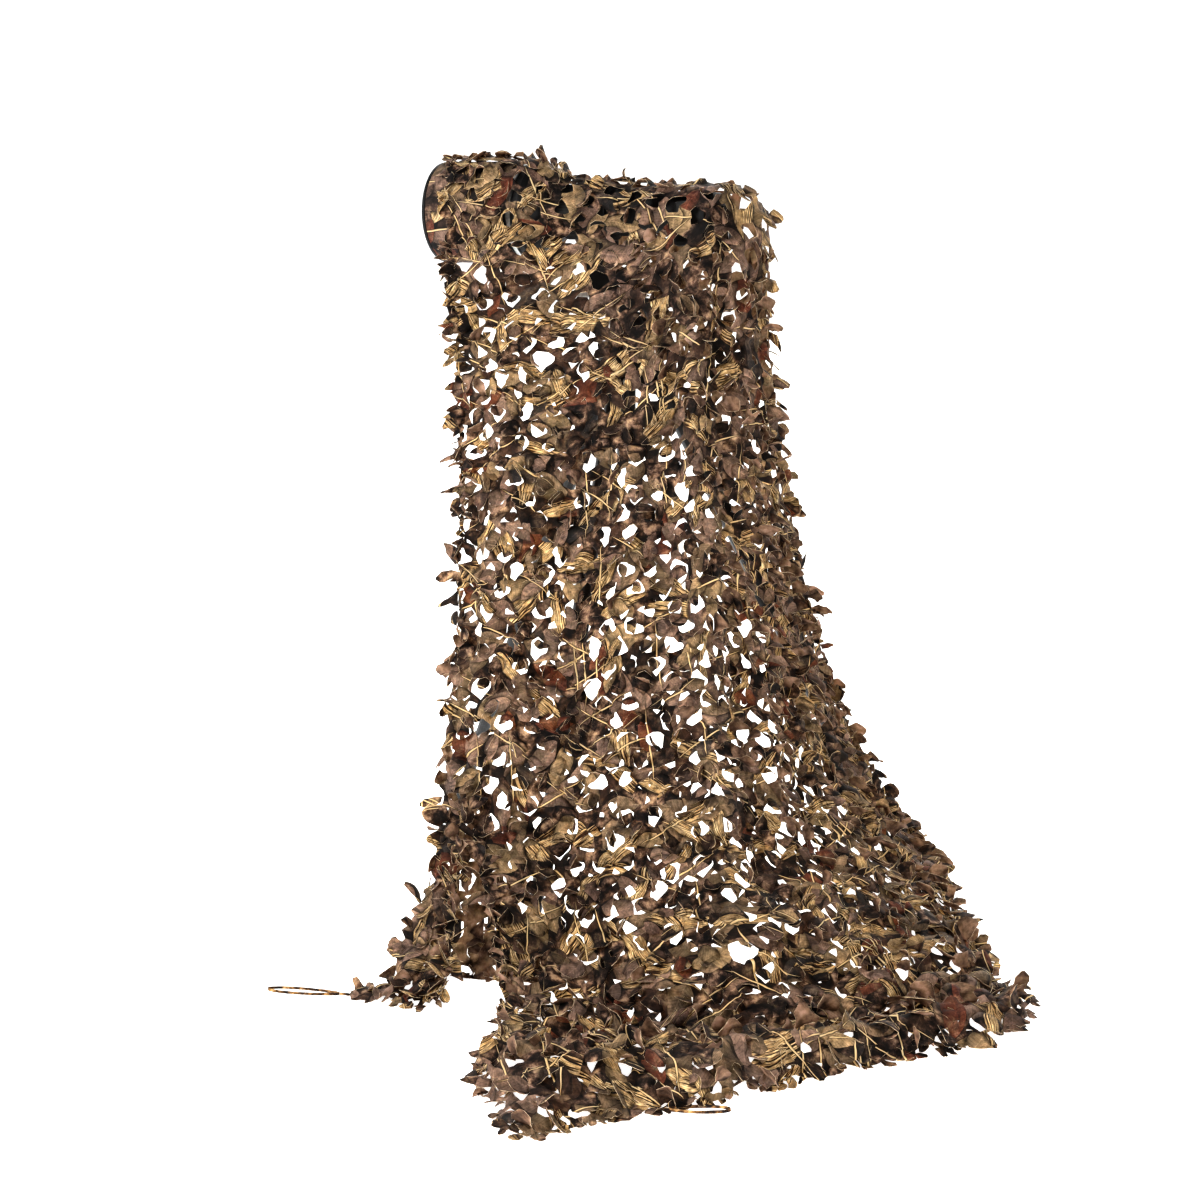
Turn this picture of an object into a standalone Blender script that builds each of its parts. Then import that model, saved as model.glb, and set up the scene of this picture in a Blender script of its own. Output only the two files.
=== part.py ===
"""Leaf-cut camouflage net thrown over a camera with a long lens on a tripod.

The net is one sheet of die-cut cloth. It lies gathered over the lens, falls in front of the tripod to the
floor, spreads there in a front lobe, and wraps the right-hand leg. Metres, +Z up, +Y away from the front,
floor at z = 0. The stand's own axis is the origin until the last step, which centres the whole part.
"""

import math

import bmesh
import bpy
from mathutils import Matrix, Vector

GAP = 0.0003  # running gap between two pieces that touch

# Tripod
LEG_RADIUS = 0.50  # floor circle through the three feet
LEG_APEX_Z = 0.989  # where the three leg axes would meet
LEG_AZIMUTHS = {"right": 11.4, "rear": 131.4, "front": 251.4}
LEG_START = 0.070  # distance of a leg's top end from the stand's axis
LEG_SIDES = 16
LEG_SECTIONS = (  # name, share of the leg where it ends, radius
    ("upper_tube", 0.40, 0.0140),
    ("upper_lock", 0.45, 0.0175),
    ("middle_tube", 0.78, 0.0125),
    ("lower_lock", 0.82, 0.0155),
    ("lower_tube", 0.96, 0.0110),
)
FOOT_RADIUS = 0.019
LUG_RADIUS = 0.0165
HUB_RADIUS = 0.048
HUB_Z = (0.868, 0.935)
COLUMN_RADIUS = 0.016
COLUMN_LENGTH = 0.130
HEAD_BASE = (0.036, 0.015)  # radius, height
HEAD_TOP_Z = 0.9985
CLAMP_SIZE = (0.062, 0.046, 0.016)

# Lens and camera: stations run along the lens axis, forwards from the stand's axis
LENS_Z = 1.158
LENS_TURN = 25.8  # degrees from -X towards +Y
HOOD_SPAN = (0.1883, 0.3480)
HOOD_RADIUS = 0.0835
HOOD_WALL = 0.0035
SLEEVE_SPAN = (0.1920, 0.3410)
SLEEVE_WALL = 0.0024
RING_SPAN = (0.1800, 0.1880)
RING_RADIUS = 0.0815
GLASS_RADIUS = 0.070
BARREL_FRONT = 0.0785  # radius of the objective bell
BARREL_MAIN = 0.0440
COLLAR_SPAN = (0.0200, 0.0700)
COLLAR_RADIUS = 0.0470
BARREL_REAR = (0.0380, 0.0345)  # radius in front of and behind its step
MOUNT_STATION = -0.1120  # where the lens meets the camera
PLATE_SPAN = (-0.030, 0.100)
PLATE_SIZE = (0.038, 0.011)  # width, height
LENS_FOOT_WIDTH = 0.024
BODY_SIZE = (0.058, 0.130, 0.074)  # along the lens axis, across it, height
BODY_Z = (1.1020, 1.1760)
PRISM_SIZE = (0.050, 0.048, 0.0135)
EYECUP_SIZE = (0.014, 0.040, 0.026)

# Net
CLOTH = 0.0016
FLOOR = CLOTH / 2
COLUMNS = 34
BACK_ROWS, ARC_ROWS, FALL_ROWS, FLOOR_ROWS = 3, 5, 17, 5
GAP_RIM = 0.0085  # half the width of the cloth left between two cut gaps
HEM_SLANT = 0.030  # how much further back the side hem crosses the hood's near side than its top
SLANT_SHARE = 0.15
LENS_SHARE = 0.62  # share of the columns that lie over the lens and camera
STATIONS = (0.330, -0.190)  # lens axis stations of the first and last of those columns
OVER = (  # station, half width and height of the cloth's path over the lens and camera
    (0.360, 0.0935, 0.0935),
    (0.190, 0.0935, 0.0935),
    (0.150, 0.0800, 0.0800),
    (0.110, 0.0620, 0.0600),
    (0.070, 0.0560, 0.0540),
    (0.015, 0.0560, 0.0530),
    (-0.020, 0.0540, 0.0450),
    (-0.080, 0.0680, 0.0430),
    (-0.120, 0.0800, 0.0450),
    (-0.190, 0.0820, 0.0450),
)
RIDGE = (  # share, x, y, z, half width: the fold that falls from the camera's back and along the right leg
    (0.620, 0.171, -0.083, 1.2030, 0.0820),
    (0.640, 0.216, -0.068, 1.1650, 0.0620),
    (0.668, 0.228, -0.072, 1.0600, 0.0320),
    (0.712, 0.238, -0.068, 0.9000, 0.0200),
    (0.757, 0.262, -0.040, 0.7600, 0.0180),
    (0.800, 0.286, 0.000, 0.6200, 0.0170),
    (0.850, 0.324, 0.036, 0.4600, 0.0160),
    (0.895, 0.372, 0.058, 0.3150, 0.0150),
    (0.930, 0.420, 0.074, 0.2100, 0.0140),
    (0.965, 0.480, 0.087, 0.1080, 0.0120),
    (1.000, 0.552, 0.100, 0.0120, 0.0080),
)
BACK_HEM = (  # share, x, y, z
    (0.00, -0.272, 0.246, 1.086),
    (0.20, -0.112, 0.170, 1.078),
    (0.36, 0.000, 0.098, 1.050),
    (0.48, 0.052, 0.098, 0.950),
    (0.56, 0.090, 0.104, 0.840),
    (0.64, 0.126, 0.110, 0.730),
    (0.72, 0.168, 0.116, 0.600),
    (0.80, 0.214, 0.124, 0.460),
    (0.87, 0.268, 0.138, 0.320),
    (0.92, 0.325, 0.154, 0.200),
    (0.96, 0.410, 0.172, 0.080),
    (1.00, 0.545, 0.192, FLOOR),
)
KNEE = (  # share, x, y, z: the cloth's line at about the height of a knee
    (0.00, -0.292, -0.400, 0.270),
    (0.06, -0.266, -0.410, 0.275),
    (0.13, -0.252, -0.425, 0.290),
    (0.20, -0.215, -0.432, 0.285),
    (0.30, -0.130, -0.440, 0.280),
    (0.40, -0.030, -0.455, 0.280),
    (0.50, 0.075, -0.490, 0.280),
    (0.56, 0.132, -0.505, 0.280),
    (0.62, 0.176, -0.470, 0.275),
    (0.70, 0.222, -0.410, 0.255),
    (0.78, 0.280, -0.360, 0.215),
    (0.86, 0.345, -0.320, 0.160),
    (0.93, 0.430, -0.280, 0.090),
    (1.00, 0.552, -0.240, FLOOR),
)
TOUCH = (  # share, x, y, z: where the cloth reaches the floor, raised at the arch
    (0.00, -0.366, -0.598, FLOOR),
    (0.06, -0.282, -0.642, FLOOR),
    (0.13, -0.254, -0.452, 0.258),
    (0.20, -0.207, -0.642, FLOOR),
    (0.30, -0.120, -0.650, FLOOR),
    (0.40, -0.010, -0.710, FLOOR),
    (0.50, 0.110, -0.795, FLOOR),
    (0.60, 0.222, -0.798, FLOOR),
    (0.70, 0.322, -0.762, FLOOR),
    (0.80, 0.412, -0.715, FLOOR),
    (0.90, 0.492, -0.665, FLOOR),
    (1.00, 0.562, -0.560, FLOOR),
)
HEM = (  # share, x, y, z
    (0.00, -0.434, -0.617, FLOOR),
    (0.06, -0.284, -0.672, FLOOR),
    (0.13, -0.254, -0.466, 0.240),
    (0.20, -0.207, -0.720, FLOOR),
    (0.29, -0.222, -0.980, FLOOR),
    (0.36, -0.150, -1.150, FLOOR),
    (0.42, -0.064, -1.115, FLOOR),
    (0.48, 0.012, -1.075, FLOOR),
    (0.55, 0.126, -1.030, FLOOR),
    (0.62, 0.250, -0.950, FLOOR),
    (0.72, 0.350, -0.900, FLOOR),
    (0.82, 0.446, -0.850, FLOOR),
    (0.91, 0.524, -0.795, FLOOR),
    (1.00, 0.594, -0.728, FLOOR),
)
FOLDS = (  # share, half width in shares, height at the top, height at the knee
    (0.030, 0.020, 0.000, 0.016),
    (0.100, 0.022, 0.000, -0.012),
    (0.225, 0.028, 0.004, 0.018),
    (0.330, 0.030, 0.003, -0.014),
    (0.430, 0.030, 0.004, 0.016),
    (0.560, 0.024, 0.022, 0.026),
    (0.630, 0.026, -0.010, -0.020),
    (0.710, 0.026, 0.006, 0.018),
    (0.790, 0.024, 0.000, -0.016),
    (0.870, 0.024, 0.000, 0.014),
)
ROLLS = (  # share, height of the loose roll that lies along the hem
    (0.00, 0.006),
    (0.20, 0.006),
    (0.30, 0.018),
    (0.40, 0.034),
    (0.60, 0.036),
    (0.80, 0.034),
    (1.00, 0.020),
)
ARCH_SPAN = (0.06, 0.20)
FLAP_ROW = 19  # row at which the left side starts to turn back behind the front
FLAP_COLUMNS = 4
FLAP_FLOOR = ((-0.366, -0.598), (-0.300, -0.530), (-0.235, -0.548), (-0.130, -0.566))
TAPE_WIDTH = 0.009
TAPE = 0.0022
LOOPS = {  # name: hem share, how far its root stands off the hem in x and y, tip x and y, width
    "loop_left": (0.0, (-0.0006, 0.0), (-0.546, -0.594), 0.028),
    "loop_front": (0.5, (0.0011, -0.0024), (0.126, -1.066), 0.026),
}


def rail(table, share):
    """The point of a table's smooth curve at this share: a cubic through its rows."""
    rows = [(row[0], Vector(row[1:])) for row in table]
    k = max(i for i in range(len(rows) - 1) if i == 0 or rows[i][0] <= share)
    (s0, p0), (s1, p1) = rows[k], rows[k + 1]
    before = rows[k - 1] if k else rows[k]
    after = rows[k + 2] if k + 2 < len(rows) else rows[k + 1]
    step = s1 - s0
    m0 = (p1 - before[1]) / (s1 - before[0]) * step
    m1 = (after[1] - p0) / (after[0] - s0) * step
    t = (share - s0) / step
    return (
        p0 * (2 * t**3 - 3 * t**2 + 1)
        + m0 * (t**3 - 2 * t**2 + t)
        + p1 * (3 * t**2 - 2 * t**3)
        + m1 * (t**3 - t**2)
    )


def straight(table, value):
    """A table's row at this value, read on straight lines between rows."""
    rows = sorted(table)
    value = min(max(value, rows[0][0]), rows[-1][0])
    for low, high in zip(rows, rows[1:]):
        if value <= high[0]:
            t = (value - low[0]) / (high[0] - low[0])
            return [a + (b - a) * t for a, b in zip(low[1:], high[1:])]
    return list(rows[-1][1:])


def ease(t):
    t = min(max(t, 0.0), 1.0)
    return t * t * (3 - 2 * t)


# ---- Cloth path ------------------------------------------------------------------------------------

TURN = math.radians(LENS_TURN)
LENS_FORWARD = Vector((-math.cos(TURN), math.sin(TURN), 0))
LENS_NEAR = Vector((-math.sin(TURN), -math.cos(TURN), 0))
UP = Vector((0, 0, 1))


def ridge(share):
    """The cloth's highest line: its point, the ways outward and to its near side, half width and height."""
    if share <= LENS_SHARE:
        station = STATIONS[0] + (STATIONS[1] - STATIONS[0]) * share / LENS_SHARE
        width, height = straight(OVER, station)
        top = LENS_FORWARD * station + UP * (LENS_Z + height)
        return top, UP, LENS_NEAR, width, height
    x, y, z, width = rail(RIDGE, share)
    ahead = rail(RIDGE, min(share + 0.01, 1.0)) - rail(RIDGE, share - 0.01)
    turn = math.radians(244.2 + 30 * ease((share - LENS_SHARE) / 0.2))
    near = Vector((math.cos(turn), math.sin(turn), 0))
    out = near.cross(ahead.xyz).normalized()
    height = 0.012 + 0.033 * (1 - ease((share - LENS_SHARE) / 0.03))
    return Vector((x, y, z)), out, near, width, height


def outward(point):
    """The level direction from the stand's axis, a little behind it, to this point."""
    return Vector((point.x, point.y - 0.15, 0)).normalized()


def fold_height(share, drop):
    """How far the hanging folds stand out, drop being 0 at the lens and 1 at the knee."""
    total = 0.0
    for centre, half, top, knee in FOLDS:
        bell = math.exp(-(((share - centre) / half) ** 2))
        total += bell * (top + (knee - top) * ease(drop))
    return total


def curve(points, lengths, travel):
    """A smooth curve through points whose places along it are lengths, read at travel."""
    return rail([(at, *p) for at, p in zip(lengths, points)], travel)


def column(share):
    """The cloth's points from its back hem, over the ridge and down the near side, to its front hem."""
    top, out, near, width, height = ridge(share)
    centre = top - out * height
    slant = HEM_SLANT * max(0, 1 - share / SLANT_SHARE)
    arc = []
    for i in range(ARC_ROWS + 1):
        angle = math.pi * (i / ARC_ROWS - 0.5)
        back = -LENS_FORWARD * slant * max(0, math.sin(angle))
        arc.append(centre + out * height * math.cos(angle) + near * width * math.sin(angle) + back)
    hem = rail(BACK_HEM, share)
    points = [hem.lerp(arc[0], i / BACK_ROWS) for i in range(BACK_ROWS)] + arc
    for point in points:
        point.z = max(point.z, FLOOR)
    knots = [arc[-1], rail(KNEE, share), rail(TOUCH, share), rail(HEM, share)]
    lengths = [0.0]
    for a, b in zip(knots, knots[1:]):
        lengths.append(lengths[-1] + (b - a).length)
    for i in range(1, FALL_ROWS + 1):
        travel = lengths[2] * i / FALL_ROWS
        point = curve(knots, lengths, travel)
        drop = travel / lengths[1]
        slack = math.sin(math.pi * min(drop, 1.0)) * 0.030 * (1 - share)
        fade = 1 - ease((travel - lengths[1]) / (lengths[2] - lengths[1]))
        point += outward(point) * (fold_height(share, drop) * (0.25 + 0.75 * fade) * min(1, 4 * drop) - slack)
        point.z = max(point.z, FLOOR)
        points.append(point)
    points[-1].z = max(knots[2].z, FLOOR)
    (roll,) = straight(ROLLS, share)
    for i in range(1, FLOOR_ROWS + 1):
        t = i / FLOOR_ROWS
        point = curve(knots, lengths, lengths[2] + (lengths[3] - lengths[2]) * t)
        bump = roll * math.sin(math.pi * t**1.6) ** 2
        point.z = max(knots[2].z + (knots[3].z - knots[2].z) * t, FLOOR) + bump
        points.append(point)
    return points


# ---- Blender helpers -------------------------------------------------------------------------------


def clear_scene():
    for obj in list(bpy.data.objects):
        bpy.data.objects.remove(obj)


def new_collection(name):
    collection = bpy.data.collections.new(name)
    bpy.context.scene.collection.children.link(collection)
    return collection


def material(name, colour, roughness, metallic=0.0):
    made = bpy.data.materials.new(name)
    made.use_nodes = True
    shader = made.node_tree.nodes["Principled BSDF"]
    shader.inputs["Base Color"].default_value = (*colour, 1)
    shader.inputs["Roughness"].default_value = roughness
    shader.inputs["Metallic"].default_value = metallic
    return made


def add_object(name, mesh_builder, finish, parent=None, smooth=True):
    """A node from a bmesh that mesh_builder fills, placed under parent."""
    mesh = bpy.data.meshes.new(name)
    bm = bmesh.new()
    mesh_builder(bm)
    bm.to_mesh(mesh)
    bm.free()
    if smooth:
        mesh.shade_smooth()
        mesh.set_sharp_from_angle(angle=math.radians(35))
    mesh.materials.append(finish)
    obj = bpy.data.objects.new(name, mesh)
    PARTS.objects.link(obj)
    obj.parent = parent
    return obj


def cylinder(bm, radius, start, end, sides, radius_end=None):
    """A capped cylinder, or a cone, from start to end."""
    axis = end - start
    turn = axis.to_track_quat("Z", "Y").to_matrix().to_4x4()
    bmesh.ops.create_cone(
        bm,
        cap_ends=True,
        segments=sides,
        radius1=radius,
        radius2=radius if radius_end is None else radius_end,
        depth=axis.length,
        matrix=Matrix.Translation((start + end) / 2) @ turn,
    )


def box(name, size, centre, finish, parent=None, bevel=0.002):
    """A box with rounded edges."""

    def build(bm):
        bmesh.ops.create_cube(bm, size=1, matrix=Matrix.Diagonal((*size, 1)))

    obj = add_object(name, build, finish, parent)
    obj.location = centre
    rounding = obj.modifiers.new("rounding", "BEVEL")
    rounding.width = bevel
    rounding.segments = 2
    return obj


def turned(name, profile, finish, parent, sides=40):
    """A solid of revolution about the parent's Z. The profile holds (radius, height), top to bottom."""
    mesh = bpy.data.meshes.new(name)
    edges = [(i, i + 1) for i in range(len(profile) - 1)]
    if profile[0][0] > 0 and profile[-1][0] > 0:
        edges.append((len(profile) - 1, 0))
    mesh.from_pydata([(radius, 0, height) for radius, height in profile], edges, [])
    mesh.materials.append(finish)
    obj = bpy.data.objects.new(name, mesh)
    PARTS.objects.link(obj)
    obj.parent = parent
    screw = obj.modifiers.new("turning", "SCREW")
    screw.steps = sides
    screw.render_steps = sides
    screw.use_merge_vertices = True
    screw.merge_threshold = 0.0001
    screw.use_smooth_shade = False
    return obj


def empty(name, location, forward=None):
    """An empty whose Z axis points forward."""
    obj = bpy.data.objects.new(name, None)
    PARTS.objects.link(obj)
    obj.location = location
    if forward:
        obj.rotation_euler = forward.to_track_quat("Z", "Y").to_euler()
    obj.parent = WHOLE
    return obj


# ---- Tripod ----------------------------------------------------------------------------------------


def leg_point(azimuth, radius):
    """The point of a leg's axis at this distance from the stand's axis."""
    turn = math.radians(azimuth)
    level = Vector((math.cos(turn), math.sin(turn), 0)) * radius
    return level + UP * LEG_APEX_Z * (1 - radius / LEG_RADIUS)


def leg(name, azimuth):
    start = leg_point(azimuth, LEG_START)
    foot = leg_point(azimuth, LEG_RADIUS)
    along = (foot - start).normalized()
    span = (foot - start).length
    done = GAP
    for section, share, radius in LEG_SECTIONS:
        ends = (start + along * done, start + along * span * share)

        def build(bm, radius=radius, ends=ends):
            cylinder(bm, radius, *ends, LEG_SIDES)

        finish = RUBBER if "lock" in section else TUBE
        add_object(f"leg_{name}_{section}", build, finish, WHOLE)
        done = span * share + GAP

    def build_foot(bm):
        cylinder(bm, 0.013, start + along * done, foot + along * 0.02, LEG_SIDES, FOOT_RADIUS)
        everything = bm.verts[:] + bm.edges[:] + bm.faces[:]
        cut = bmesh.ops.bisect_plane(
            bm, geom=everything, plane_co=(0, 0, 0), plane_no=(0, 0, -1), clear_outer=True
        )
        rim = [part for part in cut["geom_cut"] if isinstance(part, bmesh.types.BMEdge)]
        bmesh.ops.holes_fill(bm, edges=rim, sides=0)
        bmesh.ops.recalc_face_normals(bm, faces=bm.faces[:])

    add_object(f"leg_{name}_foot", build_foot, RUBBER, WHOLE)


def hub():
    """The casting that the legs hang from: a drum and three lugs in line with the legs."""

    def build_drum(bm):
        cylinder(bm, HUB_RADIUS, UP * HUB_Z[0], UP * HUB_Z[1], 32)

    drum = add_object("hub", build_drum, CASTING, WHOLE)
    for name, azimuth in LEG_AZIMUTHS.items():

        def build_lug(bm, azimuth=azimuth):
            cylinder(bm, LUG_RADIUS, leg_point(azimuth, 0.038), leg_point(azimuth, LEG_START), LEG_SIDES)

        lug = add_object(f"lug_{name}", build_lug, CASTING, WHOLE)
        PARTS.objects.unlink(lug)
        HELPERS.objects.link(lug)
        lug.hide_render = True
        lug.display_type = "WIRE"
        join = drum.modifiers.new(f"lug_{name}", "BOOLEAN")
        join.operation = "UNION"
        join.object = lug


def stand():
    hub()
    for name, azimuth in LEG_AZIMUTHS.items():
        leg(name, azimuth)
    axis = empty("stand_axis", (0, 0, 0))
    low = HUB_Z[0] - GAP
    bottom = low - COLUMN_LENGTH
    turned(
        "centre_column",
        [(0, low), (COLUMN_RADIUS, low), (COLUMN_RADIUS, bottom + 0.006), (0.012, bottom), (0, bottom)],
        TUBE, axis, 20,
    )
    radius, height = HEAD_BASE
    base = HUB_Z[1] + GAP
    turned(
        "head_base",
        [(0, base + height), (radius - 0.003, base + height), (radius, base + height - 0.003), (radius, base),
         (0, base)],
        CASTING, axis, 28,
    )
    low = base + height + GAP
    high = HEAD_TOP_Z - GAP
    turned(
        "head_ball",
        [(0, high), (0.014, high), (0.014, high - 0.010), (0.024, high - 0.014), (0.029, high - 0.024),
         (0.029, low), (0, low)],
        CASTING, axis, 28,
    )


# ---- Lens and camera -------------------------------------------------------------------------------


def camera_and_lens():
    axis = empty("lens_axis", (0, 0, LENS_Z), LENS_FORWARD)
    frame = empty("lens_frame", (0, 0, 0))
    frame.rotation_euler = (0, 0, math.pi - TURN)

    def at(station, z, across=0.0):
        return (station, across, z)

    back, tip = HOOD_SPAN
    lip = HOOD_RADIUS + 0.0022
    turned(
        "hood",
        [(lip, tip), (lip, tip - 0.0045), (HOOD_RADIUS, tip - 0.0060), (HOOD_RADIUS, back),
         (HOOD_RADIUS - HOOD_WALL, back), (HOOD_RADIUS - HOOD_WALL, tip)],
        MOULDED, axis, 48,
    )
    inner = HOOD_RADIUS + GAP
    outer = inner + SLEEVE_WALL
    turned(
        "hood_sleeve",
        [(outer, SLEEVE_SPAN[1]), (outer, SLEEVE_SPAN[0]), (inner, SLEEVE_SPAN[0]), (inner, SLEEVE_SPAN[1])],
        SLEEVE_CLOTH, axis, 48,
    )
    turned(
        "front_ring",
        [(0, RING_SPAN[1]), (RING_RADIUS, RING_SPAN[1]), (RING_RADIUS, RING_SPAN[0]), (0, RING_SPAN[0])],
        PALE_METAL, axis, 48,
    )
    glass = RING_SPAN[1] + GAP
    turned(
        "front_glass",
        [(0, glass + 0.016), (0.030, glass + 0.0135), (0.055, glass + 0.0075), (GLASS_RADIUS, glass + 0.001),
         (GLASS_RADIUS, glass), (0, glass)],
        GLASS, axis, 40,
    )
    high, low = RING_SPAN[0] - GAP, COLLAR_SPAN[1] + GAP
    turned(
        "barrel_front",
        [(0, high), (BARREL_FRONT, high), (BARREL_FRONT, 0.168), (0.046, 0.118), (BARREL_MAIN, 0.114),
         (BARREL_MAIN, low), (0, low)],
        MOULDED, axis, 40,
    )
    turned(
        "collar",
        [(0, COLLAR_SPAN[1]), (COLLAR_RADIUS, COLLAR_SPAN[1]), (COLLAR_RADIUS, COLLAR_SPAN[0]),
         (0, COLLAR_SPAN[0])],
        CASTING, axis, 40,
    )
    high, low = COLLAR_SPAN[0] - GAP, MOUNT_STATION + GAP
    turned(
        "barrel_rear",
        [(0, high), (BARREL_REAR[0], high), (BARREL_REAR[0], -0.030), (BARREL_REAR[1], -0.036),
         (BARREL_REAR[1], low), (0, low)],
        MOULDED, axis, 36,
    )
    clamp_z = HEAD_TOP_Z + CLAMP_SIZE[2] / 2
    box("head_clamp", CLAMP_SIZE, at(0, clamp_z), CASTING, frame)
    plate_low = HEAD_TOP_Z + CLAMP_SIZE[2] + GAP
    plate_length = PLATE_SPAN[1] - PLATE_SPAN[0]
    plate_middle = sum(PLATE_SPAN) / 2
    width, height = PLATE_SIZE
    plate_size = (plate_length, width, height)
    box("lens_plate", plate_size, at(plate_middle, plate_low + height / 2), PALE_METAL, frame)
    foot_low = plate_low + height + GAP
    foot_high = LENS_Z - COLLAR_RADIUS - GAP
    foot_size = (COLLAR_SPAN[1] - COLLAR_SPAN[0], LENS_FOOT_WIDTH, foot_high - foot_low)
    box("lens_foot", foot_size, at(sum(COLLAR_SPAN) / 2, (foot_low + foot_high) / 2), CASTING, frame, 0.0012)
    body_station = MOUNT_STATION - BODY_SIZE[0] / 2
    box("camera_body", BODY_SIZE, at(body_station, sum(BODY_Z) / 2), MOULDED, frame, 0.008)
    prism_z = BODY_Z[1] + GAP + PRISM_SIZE[2] / 2
    box("camera_prism", PRISM_SIZE, at(body_station, prism_z), MOULDED, frame, 0.005)
    eyecup_station = MOUNT_STATION - BODY_SIZE[0] - GAP - EYECUP_SIZE[0] / 2
    box("eyecup", EYECUP_SIZE, at(eyecup_station, BODY_Z[1] - 0.020), RUBBER, frame, 0.004)


# ---- Net -------------------------------------------------------------------------------------------


def cut_here(column_index, row):
    """Whether a gap is cut in this cell: every second one of the hanging front and the floor's first rows."""
    arch = ARCH_SPAN[0] - 0.02 < (column_index + 0.5) / COLUMNS < ARCH_SPAN[1] + 0.01
    last_row = BACK_ROWS + ARC_ROWS + FALL_ROWS + (-2 if arch else 3)
    first_row = BACK_ROWS + ARC_ROWS
    inside = 0 < column_index < COLUMNS - 1 and first_row < row < last_row
    return inside and (column_index + row) % 2 == 0


def build_net(bm):
    rows = BACK_ROWS + ARC_ROWS + FALL_ROWS + FLOOR_ROWS
    bmesh.ops.create_grid(bm, x_segments=COLUMNS, y_segments=rows, size=0.5)
    gaps = []
    for face in bm.faces:
        middle = face.calc_center_median()
        if cut_here(int((middle.x + 0.5) * COLUMNS), int((middle.y + 0.5) * rows)):
            gaps.append(face)
    columns = [column(i / COLUMNS) for i in range(COLUMNS + 1)]
    for vert in bm.verts:
        i = round((vert.co.x + 0.5) * COLUMNS)
        j = round((vert.co.y + 0.5) * rows)
        vert.co = columns[i][j]
    add_turned_back_side(bm, columns[0])
    bmesh.ops.inset_individual(bm, faces=gaps, thickness=GAP_RIM, use_even_offset=True)
    bmesh.ops.delete(bm, geom=gaps, context="FACES")
    for vert in bm.verts:
        vert.co.z = max(vert.co.z, FLOOR)


def add_turned_back_side(bm, edge):
    """The left side's last stretch, folded back behind the front: a three-cornered flap down to the floor."""
    last = BACK_ROWS + ARC_ROWS + FALL_ROWS
    count = last - FLAP_ROW
    flap = bmesh.ops.create_grid(bm, x_segments=FLAP_COLUMNS, y_segments=count, size=0.5)["verts"]
    floor_line = [(i / 3, x, y, FLOOR) for i, (x, y) in enumerate(FLAP_FLOOR)]
    tip = edge[FLAP_ROW]
    end = rail(floor_line, 1.0)
    for vert in flap:
        t = vert.co.x + 0.5
        k = round((vert.co.y + 0.5) * count)
        share = k / count
        hem = tip.lerp(end, share)
        hem.z = edge[FLAP_ROW + k].z
        straight_across = edge[FLAP_ROW + k].lerp(hem, t)
        bow = rail(floor_line, t) - rail(floor_line, 0.0).lerp(end, t)
        vert.co = straight_across + bow * share
    bmesh.ops.remove_doubles(bm, verts=bm.verts[:], dist=0.00005)
    bmesh.ops.recalc_face_normals(bm, faces=bm.faces[:])


def net():
    sheet = add_object("net", build_net, NET_CLOTH, WHOLE)
    wall = sheet.modifiers.new("cloth", "SOLIDIFY")
    wall.thickness = CLOTH
    wall.offset = 0


# ---- Tape loops ------------------------------------------------------------------------------------


def loop(name, share, stand_off, tip, width):
    """A sewn loop of tape that lies on its edge on the floor, its closed end towards the tip."""
    root = rail(HEM, share) + Vector((*stand_off, 0))
    tip = Vector((*tip, root.z))
    along = (tip - root).normalized()
    length = (tip - root).length

    def outline(bm, inset):
        """Level points of a slim drop shape, inset from its outer edge."""
        points = []
        for i in range(28):
            turn = 2 * math.pi * i / 28
            swell = 1 - 0.35 * (1 + math.cos(turn)) / 2
            x = (length / 2 - inset) * math.cos(turn)
            y = (width / 2 * swell - inset) * math.sin(turn)
            points.append(bm.verts.new((x, y, 0)))
        return points

    def build(bm):
        outer = outline(bm, 0.0)
        inner = outline(bm, TAPE)
        for i in range(28):
            k = (i + 1) % 28
            bm.faces.new((outer[i], outer[k], inner[k], inner[i]))
        up = bmesh.ops.extrude_face_region(bm, geom=bm.faces[:])["geom"]
        raised = [part for part in up if isinstance(part, bmesh.types.BMVert)]
        bmesh.ops.translate(bm, verts=raised, vec=(0, 0, TAPE_WIDTH))
        bmesh.ops.recalc_face_normals(bm, faces=bm.faces[:])

    obj = add_object(name, build, TAPE_CLOTH, WHOLE)
    middle = (root + tip) / 2
    obj.location = (middle.x, middle.y, 0)
    obj.rotation_euler = (0, 0, math.atan2(-along.y, -along.x))


def centre_whole():
    """Moves everything so that the origin is on the floor under the middle of the part's bounding box."""
    bpy.context.view_layer.update()
    graph = bpy.context.evaluated_depsgraph_get()
    corners = []
    for obj in PARTS.objects:
        if obj.type == "MESH":
            corners += [obj.matrix_world @ Vector(corner) for corner in obj.evaluated_get(graph).bound_box]
    for axis in range(2):
        values = [corner[axis] for corner in corners]
        WHOLE.location[axis] = -(min(values) + max(values)) / 2


clear_scene()
PARTS = new_collection("camouflage_net")
HELPERS = new_collection("helpers")
NET_CLOTH = material("leaf_cut_polyester", (0.115, 0.090, 0.065), 0.85)
TAPE_CLOTH = material("printed_tape", (0.28, 0.20, 0.11), 0.8)
SLEEVE_CLOTH = material("printed_neoprene", (0.09, 0.075, 0.05), 0.75)
TUBE = material("carbon_tube", (0.012, 0.012, 0.013), 0.45)
CASTING = material("black_casting", (0.010, 0.010, 0.011), 0.5)
RUBBER = material("black_rubber", (0.014, 0.014, 0.015), 0.8)
MOULDED = material("black_moulding", (0.012, 0.012, 0.013), 0.55)
PALE_METAL = material("pale_anodised", (0.42, 0.43, 0.42), 0.4, 0.8)
GLASS = material("coated_glass", (0.004, 0.005, 0.007), 0.06)
WHOLE = bpy.data.objects.new("whole", None)
PARTS.objects.link(WHOLE)

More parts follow.
